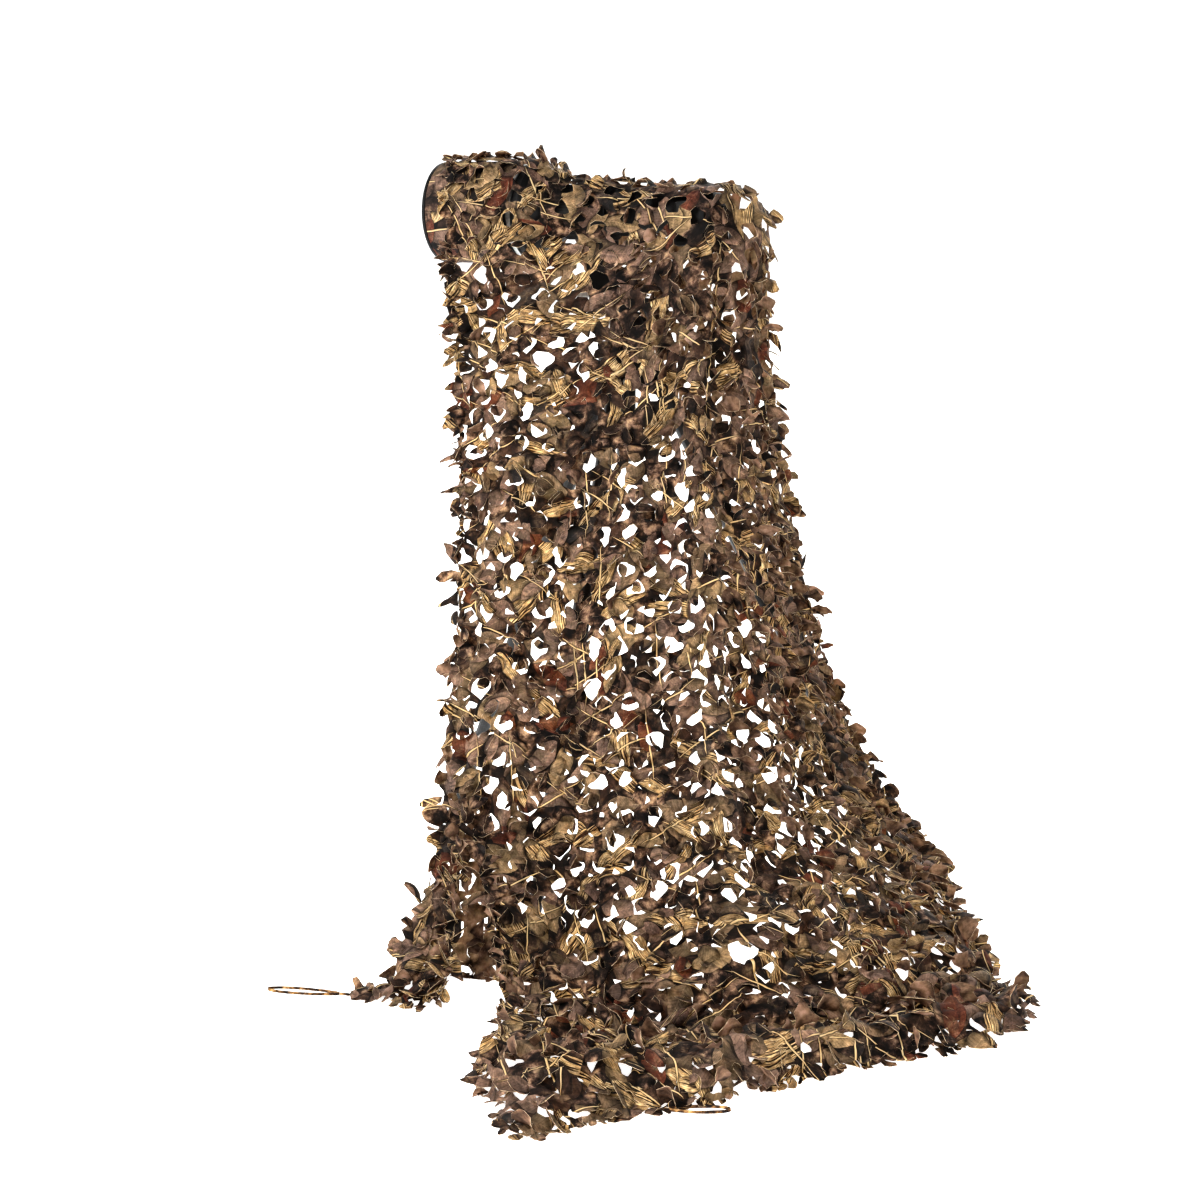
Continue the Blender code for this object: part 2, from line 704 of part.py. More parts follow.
stand()
camera_and_lens()
net()
for loop_name, sizes in LOOPS.items():
    loop(loop_name, *sizes)
centre_whole()
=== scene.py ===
"""Looks of a leaf-cut camouflage net that hangs over a camera with a long lens on a tripod."""

import math

import bmesh
import bpy
import numpy as np
from mathutils import Matrix, Vector, noise
from mathutils.bvhtree import BVHTree
from mathutils.geometry import barycentric_transform
from mathutils.kdtree import KDTree


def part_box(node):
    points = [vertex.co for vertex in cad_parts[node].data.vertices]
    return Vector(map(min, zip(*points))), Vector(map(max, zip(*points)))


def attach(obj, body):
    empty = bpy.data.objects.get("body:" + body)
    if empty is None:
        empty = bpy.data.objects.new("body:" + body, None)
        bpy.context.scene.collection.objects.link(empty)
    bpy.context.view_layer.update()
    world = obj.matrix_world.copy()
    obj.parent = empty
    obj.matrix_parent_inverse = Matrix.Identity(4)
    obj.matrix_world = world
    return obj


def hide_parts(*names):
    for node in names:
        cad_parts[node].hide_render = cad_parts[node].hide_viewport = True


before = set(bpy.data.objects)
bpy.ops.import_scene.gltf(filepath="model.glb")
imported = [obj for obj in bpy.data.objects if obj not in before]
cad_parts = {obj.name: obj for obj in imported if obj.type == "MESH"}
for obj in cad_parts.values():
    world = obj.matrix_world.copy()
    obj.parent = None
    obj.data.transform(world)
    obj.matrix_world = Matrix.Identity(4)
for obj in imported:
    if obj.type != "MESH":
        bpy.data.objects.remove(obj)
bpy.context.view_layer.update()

# ---- View, floor and light -------------------------------------------------------------------------
# A pale studio: a seamless paper floor, a white surround and three large soft boxes, the strongest of them
# to the upper left. The lens of the view is a short telephoto at chest height, tipped a little down.

column_low, column_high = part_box("centre_column")
STAND = Vector(((column_low[0] + column_high[0]) / 2, (column_low[1] + column_high[1]) / 2, 0))
EYE = Vector((-0.045, -3.88, 1.146))  # from the stand's axis
EYE_TIP = 9.5  # degrees below the horizon
FOCAL_MM = 68.25
AIM_Z = 0.6  # the soft boxes face this height on the stand's axis
SOFT_BOXES = (  # name, place from the stand's axis, side in metres, watts
    ("key", (-1.9, -2.9, 2.6), 1.5, 148),
    ("fill", (0.9, -3.2, 0.8), 1.6, 42),
    ("back", (0.9, 2.8, 2.4), 2.4, 26),
)
SKY = (0.04, 2.85)  # brightness of the surround's light, at its dimmest and at its brightest
SKY_WAY = (0, 0.97, 0)  # it is brightest behind, where the lit backdrop hangs
PAPER_GLOW = 0.65

camera = bpy.data.objects.new("camera", bpy.data.cameras.new("camera"))
camera.data.lens = FOCAL_MM
camera.data.sensor_width = 36
camera.location = STAND + EYE
camera.rotation_euler = (math.radians(90 - EYE_TIP), 0, 0)
bpy.context.scene.collection.objects.link(camera)
bpy.context.scene.camera = camera
bpy.context.scene.view_settings.view_transform = "Standard"
bpy.context.scene.view_settings.look = "High Contrast"


def linear(code):
    """The linear RGBA of an sRGB hex colour."""
    parts = [int(code[i : i + 2], 16) / 255 for i in (1, 3, 5)]
    return (*[p / 12.92 if p <= 0.04045 else ((p + 0.055) / 1.055) ** 2.4 for p in parts], 1)


def add(tree, kind, inputs=(), stops=(), **settings):
    """A node with its settings, a ramp's stops, and its inputs, each a value or a socket to link."""
    made = tree.nodes.new(kind)
    for name, value in settings.items():
        setattr(made, name, value)
    for i, (place, code) in enumerate(stops):
        ramp = made.color_ramp.elements
        stop = ramp[i] if i < 2 else ramp.new(place)
        stop.position = place
        stop.color = linear(code)
    for name, value in dict(inputs).items():
        if isinstance(value, bpy.types.NodeSocket):
            tree.links.new(value, made.inputs[name])
        else:
            made.inputs[name].default_value = value
    return made


def finish(name, colour, roughness, **values):
    """A new material, with its node tree and its shader, whose own sockets hold these values."""
    made = bpy.data.materials.new(name)
    made.use_nodes = True
    shader = made.node_tree.nodes["Principled BSDF"]
    shader.inputs["Base Color"].default_value = linear(colour)
    shader.inputs["Roughness"].default_value = roughness
    for socket, value in values.items():
        shader.inputs[socket.replace("_", " ")].default_value = value
    return made, made.node_tree, shader


bpy.ops.object.select_all(action="DESELECT")
bpy.ops.mesh.primitive_plane_add(size=40, location=STAND)
floor = bpy.context.object
floor.name = "floor"
# Seamless background paper: matt, and lit so strongly that only a faint contact shadow shows on it.
white = {"Emission_Color": (1, 1, 1, 1), "Emission_Strength": PAPER_GLOW}
floor.data.materials.append(finish("background_paper", "#fbfbfb", 0.95, **white)[0])

surround = bpy.data.worlds.new("white_surround")
surround.use_nodes = True
sky = surround.node_tree.nodes["Background"]
seen = add(surround.node_tree, "ShaderNodeLightPath")
way = add(surround.node_tree, "ShaderNodeTexCoord")
along = {0: way.outputs["Generated"], 1: SKY_WAY}
along = add(surround.node_tree, "ShaderNodeVectorMath", along, operation="DOT_PRODUCT").outputs["Value"]
level = add(surround.node_tree, "ShaderNodeMapRange", {0: along, 3: SKY[0], 4: SKY[1]})
shown = add(surround.node_tree, "ShaderNodeMix", {0: seen.outputs[0], 2: level.outputs[0], 3: 1.0})
surround.node_tree.links.new(shown.outputs[0], sky.inputs["Strength"])
sky.inputs["Color"].default_value = (1, 1, 1, 1)
bpy.context.scene.world = surround

for lamp_name, place, side, watts in SOFT_BOXES:
    lamp = bpy.data.objects.new(lamp_name, bpy.data.lights.new(lamp_name, "AREA"))
    lamp.data.size = side
    lamp.data.energy = watts
    lamp.location = STAND + Vector(place)
    aim = STAND + Vector((0, 0, AIM_Z)) - lamp.location
    lamp.rotation_euler = aim.to_track_quat("-Z", "Y").to_euler()
    bpy.context.scene.collection.objects.link(lamp)

# ---- Tripod ------------------------------------------------------------------------------------------
# Three carbon-fibre legs of rolled tube in three sections, held by rubber twist locks, hang from a cast
# magnesium hub painted matt black. A short column goes through the hub, and a ball head stands on it.

LEG_AZIMUTHS = {"right": 11.4, "rear": 131.4, "front": 251.4}  # degrees round the stand's axis
LEG_RADIUS, LEG_APEX_Z, LEG_START = 0.50, 0.989, 0.070
LOCKS = (("upper_lock", 0.40, 0.45, 0.0175), ("lower_lock", 0.78, 0.82, 0.0155))  # shares of the leg, radius
BOLT_OUT = 0.057  # from the stand's axis to the middle of a hinge


def only(piece):
    """Makes this piece the one selected and active."""
    bpy.ops.object.select_all(action="DESELECT")
    piece.select_set(True)
    bpy.context.view_layer.objects.active = piece


def faces_where(piece, test):
    """Selects, in edit mode, the faces whose middle and normal pass the test."""
    mesh = piece.data
    bpy.ops.object.mode_set(mode="OBJECT")
    for part in (*mesh.vertices, *mesh.edges, *mesh.polygons):
        part.select = False
    for face in mesh.polygons:
        face.select = test(face.center, face.normal)
    bpy.ops.object.mode_set(mode="EDIT")


def round_edges(piece, width, segments=2, angle=40):
    """Rounds the piece's sharp edges, as a mould or a file leaves them."""
    only(piece)
    rounding = piece.modifiers.new("rounding", "BEVEL")
    rounding.width = width
    rounding.segments = segments
    rounding.limit_method = "ANGLE"
    rounding.angle_limit = math.radians(angle)
    bpy.ops.object.modifier_apply(modifier="rounding")
    bpy.ops.object.shade_smooth_by_angle(angle=math.radians(35))


def thicken(piece, thickness, offset=-1, reverse=0, rim=0):
    """Gives single faces a wall, inwards as a rule, with finishes of their own on its reverse and its rim."""
    only(piece)
    wall = piece.modifiers.new("wall", "SOLIDIFY")
    wall.thickness = thickness
    wall.offset = offset
    wall.material_offset = reverse
    wall.material_offset_rim = rim
    bpy.ops.object.modifier_apply(modifier="wall")


def settle(piece, name, made, place):
    """Puts a piece where it belongs, with its place in its mesh, and gives it its finish and its body."""
    only(piece)
    piece.matrix_world = place
    bpy.ops.object.transform_apply(location=True, rotation=True, scale=True)
    piece.name = piece.data.name = name
    piece.data.materials.clear()
    piece.data.materials.append(made)
    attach(piece, "root")
    return piece


def ribbed(radius, depth, ribs, rise, margin=0.0):
    """A grip along Z: a drum with ribs along it, which stop short of its ends."""
    bpy.ops.object.select_all(action="DESELECT")
    bpy.ops.mesh.primitive_cylinder_add(vertices=2 * ribs, radius=radius - rise, depth=depth)
    grip = bpy.context.object
    faces_where(grip, lambda middle, normal: abs(normal.z) < 0.5)
    if margin:
        bpy.ops.mesh.inset(thickness=margin, use_boundary=True)
        inside = depth / 2 - margin
        faces_where(grip, lambda middle, normal: abs(normal.z) < 0.5 and abs(middle.z) < inside)
    bpy.ops.object.mode_set(mode="OBJECT")
    for face in grip.data.polygons:
        if face.select:
            step = math.atan2(face.center.y, face.center.x) * ribs / math.pi
            face.select = int(math.floor(step)) % 2 == 0
    bpy.ops.object.mode_set(mode="EDIT")
    bpy.ops.mesh.select_mode(type="FACE")
    bpy.ops.mesh.extrude_region_shrink_fatten(TRANSFORM_OT_shrink_fatten={"value": rise})
    bpy.ops.object.mode_set(mode="OBJECT")
    return grip


def speckled(name, colour, roughness, grain, stops, uv_map=None, **values):
    """A finish whose colour follows fine noise of this grain, on the piece itself or on one of its maps."""
    made, tree, shader = finish(name, colour, roughness, **values)
    if uv_map:
        place = add(tree, "ShaderNodeUVMap", uv_map=uv_map).outputs[0]
    else:
        place = add(tree, "ShaderNodeTexCoord").outputs["Object"]
    specks = add(tree, "ShaderNodeTexNoise", {"Vector": place, **grain})
    shade = add(tree, "ShaderNodeValToRGB", {0: specks.outputs[0]}, stops)
    tree.links.new(shade.outputs[0], shader.inputs["Base Color"])
    return made, tree, shader


def copy_of(pattern):
    """A copy of a piece, with a mesh of its own."""
    piece = pattern.copy()
    piece.data = pattern.data.copy()
    bpy.context.scene.collection.objects.link(piece)
    return piece


def level_way(degrees):
    """The level direction at this azimuth round the stand."""
    turn = math.radians(degrees)
    return Vector((math.cos(turn), math.sin(turn), 0))


def pointing(way, middle):
    """The placing that turns a piece's Z this way and puts its middle here."""
    return Matrix.Translation(middle) @ way.to_track_quat("Z", "Y").to_matrix().to_4x4()


# Rolled carbon fibre under a clear coat: black, with the twill's tows just showing, 3 mm wide.
carbon_tube, tree, shader = finish("carbon_tube", "#0f1011", 0.42, Coat_Weight=0.25, Coat_Roughness=0.25)
place = add(tree, "ShaderNodeTexCoord").outputs["Object"]
tows = add(tree, "ShaderNodeTexWave", {0: place, "Scale": 52, "Distortion": 0}, bands_direction="DIAGONAL")
cross = add(tree, "ShaderNodeTexWave", {0: place, "Scale": 90, "Distortion": 0}, bands_direction="Z")
twill = add(tree, "ShaderNodeMath", {0: tows.outputs[1], 1: cross.outputs[1]}, operation="MULTIPLY")
shade = add(tree, "ShaderNodeValToRGB", {0: twill.outputs[0]}, ((0.15, "#08090a"), (0.75, "#191a1c")))
tree.links.new(shade.outputs[0], shader.inputs["Base Color"])

# Cast magnesium, painted matt black: the slight pebble of sprayed paint, about 1 mm across.
dust = {"Scale": 26, "Detail": 5}
shades = ((0.38, "#0b0b0c"), (0.66, "#19191a"))
black_casting, tree, shader = speckled("black_casting", "#111112", 0.6, dust, shades, Specular_IOR_Level=0.35)
place = add(tree, "ShaderNodeTexCoord").outputs["Object"]
pebble = add(tree, "ShaderNodeTexNoise", {"Vector": place, "Scale": 900, "Detail": 2})
relief = add(tree, "ShaderNodeBump", {"Strength": 0.25, "Distance": 0.0004, "Height": pebble.outputs[0]})
tree.links.new(relief.outputs[0], shader.inputs["Normal"])

# Natural rubber, moulded: dull black that greys where hands and the ground rub it.
rubbed = {"Scale": 60, "Detail": 4}
black_rubber = speckled("black_rubber", "#1c1c1c", 0.82, rubbed, ((0.4, "#0f0f0f"), (0.62, "#232220")))[0]

# Polycarbonate with glass fibre, moulded against a spark-eroded tool: fine grain, drawn 1.5 mm coarse.
black_moulding, tree, shader = finish("black_moulding", "#0f0f10", 0.55, Specular_IOR_Level=0.35)
place = add(tree, "ShaderNodeTexCoord").outputs["Object"]
grain = add(tree, "ShaderNodeTexVoronoi", {"Vector": place, "Scale": 700})
relief = add(tree, "ShaderNodeBump", {"Strength": 0.3, "Distance": 0.0003, "Height": grain.outputs[0]})
shade = add(tree, "ShaderNodeValToRGB", {0: grain.outputs[0]}, ((0.1, "#131314"), (0.7, "#0b0b0c")))
tree.links.new(relief.outputs[0], shader.inputs["Normal"])
tree.links.new(shade.outputs[0], shader.inputs["Base Color"])

# Aluminium, satin anodised after turning: pale grey with fine rings from the tool, drawn 1 mm apart.
rings = {"Scale": 240, "Detail": 2}
shades = ((0.35, "#a4a6a5"), (0.65, "#c6c8c5"))
pale_anodised = speckled("pale_anodised", "#b4b6b4", 0.36, rings, shades, Metallic=0.85)[0]

# Lens glass under an anti-reflection coat: nearly black, clear and very smooth, with the coat's blue
# reflection painted into its colour as soft blotches all over.
painted_coat_reflection = {"Scale": 9, "Detail": 1}
# The blue of these shades is the coat's reflection, painted into the glass's colour.
shades = ((0.35, "#04050a"), (0.7, "#0d1524"))
coat = {"Coat_Weight": 0.6, "Coat_Roughness": 0.02}
coated_glass = speckled("coated_glass", "#06080d", 0.03, painted_coat_reflection, shades, **coat)[0]

FINISHES = {
    "carbon_tube": carbon_tube,
    "casting": black_casting,
    "rubber": black_rubber,
    "moulding": black_moulding,
    "pale_metal": pale_anodised,
    "coated_glass": coated_glass,
}
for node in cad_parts.values():
    for held in node.material_slots:
        if held.material.name in FINISHES:
            held.material = FINISHES[held.material.name]

# Twist locks: one ribbed rubber grip, copied to both joints of each leg.
pattern = ribbed(1.0, 1.0, 18, 0.09, 0.09)
for leg_name, azimuth in LEG_AZIMUTHS.items():
    level = level_way(azimuth)
    start = STAND + level * LEG_START + Vector((0, 0, LEG_APEX_Z * (1 - LEG_START / LEG_RADIUS)))
    foot = STAND + level * LEG_RADIUS
    for lock, share_from, share_to, radius in LOCKS:
        long = (foot - start).length * (share_to - share_from) - 0.0006
        grip = copy_of(pattern)
        size = Matrix.Diagonal((radius, radius, long, 1))
        middle = start.lerp(foot, (share_from + share_to) / 2)
        settle(grip, f"grip_{leg_name}_{lock}", black_rubber, pointing(foot - start, middle) @ size)
        round_edges(grip, 0.0004, 1)
        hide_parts(f"leg_{leg_name}_{lock}")
bpy.data.objects.remove(pattern)

# Hinge bolts: turned aluminium caps on both sides of each lug.
bpy.ops.object.select_all(action="DESELECT")
bpy.ops.mesh.primitive_cylinder_add(vertices=24, radius=0.0075, depth=0.040)
bolt = bpy.context.object
faces_where(bolt, lambda middle, normal: abs(normal.z) > 0.9)
bpy.ops.mesh.inset(thickness=0.003)
bpy.ops.mesh.extrude_region_move(TRANSFORM_OT_translate={"value": (0, 0, 0)})
bpy.ops.transform.resize(value=(1, 1, 0.94))
bpy.ops.object.mode_set(mode="OBJECT")
for leg_name, azimuth in LEG_AZIMUTHS.items():
    level = level_way(azimuth)
    cap = copy_of(bolt)
    middle = STAND + level * BOLT_OUT + Vector((0, 0, LEG_APEX_Z * (1 - BOLT_OUT / LEG_RADIUS)))
    across = Vector((-level.y, level.x, 0))
    settle(cap, f"hinge_bolt_{leg_name}", pale_anodised, pointing(across, middle))
    round_edges(cap, 0.0006)
bpy.data.objects.remove(bolt)

# Knobs: a big one locks the ball, a small one the base and one the clamp. Each is a ribbed drum on a stem.
KNOBS = (  # name, height of its axis, reach of its stem, radius, depth, way it points
    ("ball_knob", 0.968, 0.026, 0.0145, 0.020, 62),
    ("base_knob", 0.9428, 0.034, 0.0070, 0.012, 118),
    ("clamp_knob", 1.0065, 0.022, 0.0090, 0.014, 64.2),
)
for knob_name, height, reach, radius, depth, azimuth in KNOBS:
    knob = ribbed(radius, depth, 14, radius * 0.09, 0.0016)
    faces_where(knob, lambda middle, normal: normal.z < -0.9)
    bpy.ops.mesh.inset(thickness=radius * 0.55)
    bpy.ops.mesh.extrude_region_move(TRANSFORM_OT_translate={"value": (0, 0, -0.010)})
    bpy.ops.object.mode_set(mode="OBJECT")
    level = level_way(azimuth)
    middle = STAND + level * (reach + 0.008 + depth / 2) + Vector((0, 0, height))
    settle(knob, knob_name, black_rubber, pointing(level, middle))
    round_edges(knob, 0.0004, 1)

# ---- Lens and camera ---------------------------------------------------------------------------------
# A long telephoto lens in a moulded barrel, held by its collar on a pale quick-release plate, with the
# camera behind it. Its hood is a moulded tube, flocked black inside, in a sleeve of printed stretch cloth.

LENS_Z = 1.158
LENS_TURN = math.radians(25.8)  # from -X towards +Y
LENS_FORWARD = Vector((-math.cos(LENS_TURN), math.sin(LENS_TURN), 0))
LENS_NEAR = Vector((-math.sin(LENS_TURN), -math.cos(LENS_TURN), 0))
UP = Vector((0, 0, 1))
GRIP_RINGS = (  # name, station of its middle, radius, depth, ribs
    ("focus_ring", 0.0920, 0.0462, 0.034, 60),
    ("zoom_ring", -0.0060, 0.0400, 0.036, 52),
)


def on_axis(station):
    """The placing of a piece whose Z is the lens's axis, at this distance in front of the stand's axis."""
    return pointing(LENS_FORWARD, STAND + LENS_FORWARD * station + UP * LENS_Z)


# Rubber grips round the barrel: each a thin ribbed band, whose bore clears the barrel by a hair.
for ring_name, station, radius, depth, ribs in GRIP_RINGS:
    band = ribbed(radius, depth, ribs, 0.0010, 0.0018)
    faces_where(band, lambda middle, normal: abs(normal.z) > 0.9)
    bpy.ops.mesh.delete(type="FACE")
    bpy.ops.object.mode_set(mode="OBJECT")
    thicken(band, 0.0010)
    settle(band, ring_name, black_rubber, on_axis(station))
    round_edges(band, 0.0002, 1)

# The collar's lock: a ribbed knob on the lens's far side, above the foot.
KNOB_DIP = math.radians(38)  # it is turned down, clear of the cloth
knob = ribbed(0.0085, 0.014, 14, 0.0008, 0.0016)
aside = -LENS_NEAR * math.cos(KNOB_DIP) - UP * math.sin(KNOB_DIP)
middle = STAND + LENS_FORWARD * 0.045 + aside * 0.0545 + UP * (LENS_Z - 0.004)
settle(knob, "collar_knob", black_casting, pointing(aside, middle))
round_edges(knob, 0.0005, 1)

# Black flocking lines the hood, with shallow baffle rings that catch stray light.
HOOD_BORE, HOOD_BACK, HOOD_TIP = 0.0800, 0.1883, 0.3480
BAFFLE_PITCH, BAFFLE_HALF = 0.0115, 0.0012
lining_long = HOOD_TIP - HOOD_BACK - 0.006
bpy.ops.object.select_all(action="DESELECT")
bpy.ops.mesh.primitive_cylinder_add(
    vertices=72, radius=HOOD_BORE - 0.0003, depth=lining_long, end_fill_type="NOTHING"
)
lining = bpy.context.object
bpy.ops.object.mode_set(mode="EDIT")
bpy.ops.mesh.select_all(action="SELECT")
bpy.ops.mesh.bisect(plane_co=(0, 0, 0), plane_no=(0, 0, 1))
for k in range(-6, 7):
    for edge_z in (k * BAFFLE_PITCH - BAFFLE_HALF, k * BAFFLE_PITCH + BAFFLE_HALF):
        bpy.ops.mesh.select_all(action="SELECT")
        bpy.ops.mesh.bisect(plane_co=(0, 0, edge_z), plane_no=(0, 0, 1))
faces_where(lining, lambda middle, normal: abs(math.remainder(middle.z, BAFFLE_PITCH)) < BAFFLE_HALF - 0.0001)
bpy.ops.mesh.extrude_region_shrink_fatten(TRANSFORM_OT_shrink_fatten={"value": -0.0016})
bpy.ops.mesh.select_all(action="SELECT")
bpy.ops.mesh.remove_doubles(threshold=0.00005)
bpy.ops.mesh.normals_make_consistent(inside=False)
bpy.ops.object.mode_set(mode="OBJECT")
thicken(lining, 0.0006)
# Nylon flock: short black fibres that shine back almost nothing.
fibres = {"Scale": 700, "Detail": 2}
shades = ((0.35, "#070707"), (0.7, "#171616"))
sheen = {"Sheen_Weight": 0.2, "Sheen_Roughness": 0.6}
black_flock = speckled("black_flock", "#0c0c0c", 0.98, fibres, shades, **sheen)[0]
settle(lining, "hood_lining", black_flock, on_axis((HOOD_BACK + HOOD_TIP) / 2 - 0.003))

# The camera's back: a screen under clear glass, three dials and a moulded hand grip.
BODY_DEPTH, MOUNT = 0.058, -0.1120
BODY_AXIS = Matrix((LENS_NEAR, UP, -LENS_FORWARD)).transposed().to_4x4()  # X near side, Y up, Z back


def on_body(back, side, height):
    """The placing of a piece whose Z points back from the camera: distances from the lens mount and axis."""
    middle = STAND + LENS_FORWARD * (MOUNT - back) + LENS_NEAR * side + UP * height
    return Matrix.Translation(middle) @ BODY_AXIS


bpy.ops.object.select_all(action="DESELECT")
bpy.ops.mesh.primitive_cube_add(size=1)
screen = bpy.context.object
bpy.ops.transform.resize(value=(0.074, 0.052, 0.004))
bpy.ops.object.transform_apply(location=False, rotation=False, scale=True)
faces_where(screen, lambda middle, normal: normal.z > 0.9)
bpy.ops.mesh.inset(thickness=0.004)
bpy.ops.mesh.extrude_region_move(TRANSFORM_OT_translate={"value": (0, 0, -0.0006)})
bpy.ops.object.mode_set(mode="OBJECT")
settle(screen, "rear_screen", coated_glass, on_body(BODY_DEPTH + 0.0018, 0.008, 1.1330))
round_edges(screen, 0.0008)
DIALS = (  # name, back, side, height, radius, depth, ribs, whether it lies level
    ("shutter_dial", 0.020, -0.046, 1.1785, 0.0085, 0.006, 16, True),
    ("mode_dial", 0.034, 0.044, 1.1790, 0.0100, 0.007, 18, True),
    ("thumb_dial", 0.0600, -0.046, 1.1600, 0.0080, 0.006, 16, False),
)
for dial_name, back, side, height, radius, depth, ribs, level in DIALS:
    dial = ribbed(radius, depth, ribs, 0.0007, 0.0010)
    turned = Matrix.Rotation(-math.pi / 2, 4, "X") if level else Matrix.Identity(4)
    settle(dial, dial_name, black_moulding, on_body(back, side, height) @ turned)
    round_edges(dial, 0.0003, 1)
bpy.ops.object.select_all(action="DESELECT")
bpy.ops.mesh.primitive_cube_add(size=1)
grip = bpy.context.object
bpy.ops.transform.resize(value=(0.026, 0.064, 0.022))
bpy.ops.object.transform_apply(location=False, rotation=False, scale=True)
bpy.ops.object.mode_set(mode="EDIT")
bpy.ops.mesh.select_all(action="SELECT")
bpy.ops.mesh.subdivide(number_cuts=3, smoothness=0.6)
bpy.ops.object.mode_set(mode="OBJECT")
settle(grip, "hand_grip", black_rubber, on_body(-0.006, -0.050, 1.1370))
bpy.ops.object.shade_smooth_by_angle(angle=math.radians(50))

# ---- Net cloth ---------------------------------------------------------------------------------------
# One sheet of printed polyester, die-cut all over in staggered rows, so that it stretches open into gaps.
# It lies gathered over the lens and camera, falls to the floor in front of the tripod, and wraps the
# right-hand leg. It is draped here as one piece, laid out flat, cut, and hung up again.

REFINE = 3  # steps here to one step of the solids' grid
COLUMNS = 34 * REFINE
BACK_ROWS, ARC_ROWS, FALL_ROWS, FLOOR_ROWS = 3 * REFINE, 5 * REFINE, 17 * REFINE, 5 * REFINE
FLOOR = 0.0008  # how high cloth lies that rests on the floor
HEM_SLANT, SLANT_SHARE = 0.030, 0.15  # how far the cloth's left edge runs aslant under the hood
LENS_SHARE = 0.62  # up to this share of its width the cloth lies over the lens and camera
STATIONS = (0.330, -0.190)  # and reaches from here to here along the lens
OVER = (  # station, half width and height of the cloth's path over the lens and camera
    (0.360, 0.0935, 0.0935),
    (0.190, 0.0935, 0.0935),
    (0.150, 0.0800, 0.0800),
    (0.110, 0.0620, 0.0600),
    (0.070, 0.0560, 0.0540),
    (0.015, 0.0560, 0.0530),
    (-0.020, 0.0540, 0.0450),
    (-0.080, 0.0680, 0.0430),
    (-0.120, 0.0800, 0.0450),
    (-0.190, 0.0820, 0.0450),
)
RIDGE = (  # share, x, y, z, half width: the fold that falls from the camera's back along the right leg
    (0.620, 0.171, -0.083, 1.2030, 0.0820),
    (0.640, 0.216, -0.068, 1.1650, 0.0620),
    (0.668, 0.228, -0.072, 1.0600, 0.0320),
    (0.712, 0.238, -0.068, 0.9000, 0.0200),
    (0.757, 0.262, -0.040, 0.7600, 0.0180),
    (0.800, 0.286, 0.000, 0.6200, 0.0170),
    (0.850, 0.324, 0.036, 0.4600, 0.0160),
    (0.895, 0.372, 0.058, 0.3150, 0.0150),
    (0.930, 0.420, 0.074, 0.2100, 0.0140),
    (0.965, 0.480, 0.087, 0.1080, 0.0120),
    (1.000, 0.552, 0.100, 0.0120, 0.0080),
)
BACK_HEM = (  # share, x, y, z
    (0.00, -0.272, 0.246, 1.086),
    (0.20, -0.112, 0.170, 1.078),
    (0.36, 0.000, 0.098, 1.050),
    (0.48, 0.052, 0.098, 0.950),
    (0.56, 0.090, 0.104, 0.840),
    (0.64, 0.126, 0.110, 0.730),
    (0.72, 0.168, 0.116, 0.600),
    (0.80, 0.214, 0.124, 0.460),
    (0.87, 0.268, 0.138, 0.320),
    (0.92, 0.325, 0.154, 0.200),
    (0.96, 0.410, 0.172, 0.080),
    (1.00, 0.545, 0.192, FLOOR),
)
KNEE = (  # share, x, y, z
    (0.00, -0.292, -0.400, 0.270),
    (0.06, -0.266, -0.410, 0.275),
    (0.13, -0.252, -0.425, 0.290),
    (0.20, -0.215, -0.432, 0.285),
    (0.30, -0.130, -0.440, 0.280),
    (0.40, -0.030, -0.455, 0.280),
    (0.50, 0.075, -0.490, 0.280),
    (0.56, 0.132, -0.505, 0.280),
    (0.62, 0.176, -0.470, 0.275),
    (0.70, 0.222, -0.410, 0.255),
    (0.78, 0.280, -0.360, 0.215),
    (0.86, 0.345, -0.320, 0.160),
    (0.93, 0.430, -0.280, 0.090),
    (1.00, 0.552, -0.240, FLOOR),
)
TOUCH = (  # share, x, y, z: where the cloth reaches the floor, raised at the arch
    (0.00, -0.366, -0.598, FLOOR),
    (0.06, -0.282, -0.642, FLOOR),
    (0.13, -0.254, -0.452, 0.258),
    (0.20, -0.192, -0.642, FLOOR),
    (0.30, -0.120, -0.650, FLOOR),
    (0.40, -0.010, -0.710, FLOOR),
    (0.50, 0.110, -0.795, FLOOR),
    (0.60, 0.222, -0.798, FLOOR),
    (0.70, 0.322, -0.762, FLOOR),
    (0.80, 0.412, -0.715, FLOOR),
    (0.90, 0.492, -0.665, FLOOR),
    (1.00, 0.562, -0.560, FLOOR),
)
HEM = (  # share, x, y, z
    (0.00, -0.434, -0.617, FLOOR),
    (0.06, -0.284, -0.672, FLOOR),
    (0.13, -0.254, -0.466, 0.240),
    (0.20, -0.190, -0.720, FLOOR),
    (0.29, -0.208, -0.980, FLOOR),
    (0.36, -0.150, -1.150, FLOOR),
    (0.42, -0.064, -1.115, FLOOR),
    (0.48, 0.012, -1.075, FLOOR),
    (0.55, 0.126, -1.030, FLOOR),
    (0.62, 0.250, -0.950, FLOOR),
    (0.72, 0.350, -0.900, FLOOR),
    (0.82, 0.446, -0.850, FLOOR),
    (0.91, 0.524, -0.795, FLOOR),
    (1.00, 0.594, -0.728, FLOOR),
)
FOLDS = (  # share, half width in shares, height at the top, height at the knee
    (0.030, 0.020, 0.000, 0.016),
    (0.100, 0.022, 0.000, -0.012),
    (0.225, 0.028, 0.004, 0.018),
    (0.330, 0.030, 0.003, -0.014),
    (0.430, 0.030, 0.004, 0.016),
    (0.560, 0.024, 0.022, 0.026),
    (0.630, 0.026, -0.010, -0.020),
    (0.710, 0.026, 0.006, 0.018),
    (0.790, 0.024, 0.000, -0.016),
    (0.870, 0.024, 0.000, 0.014),
)
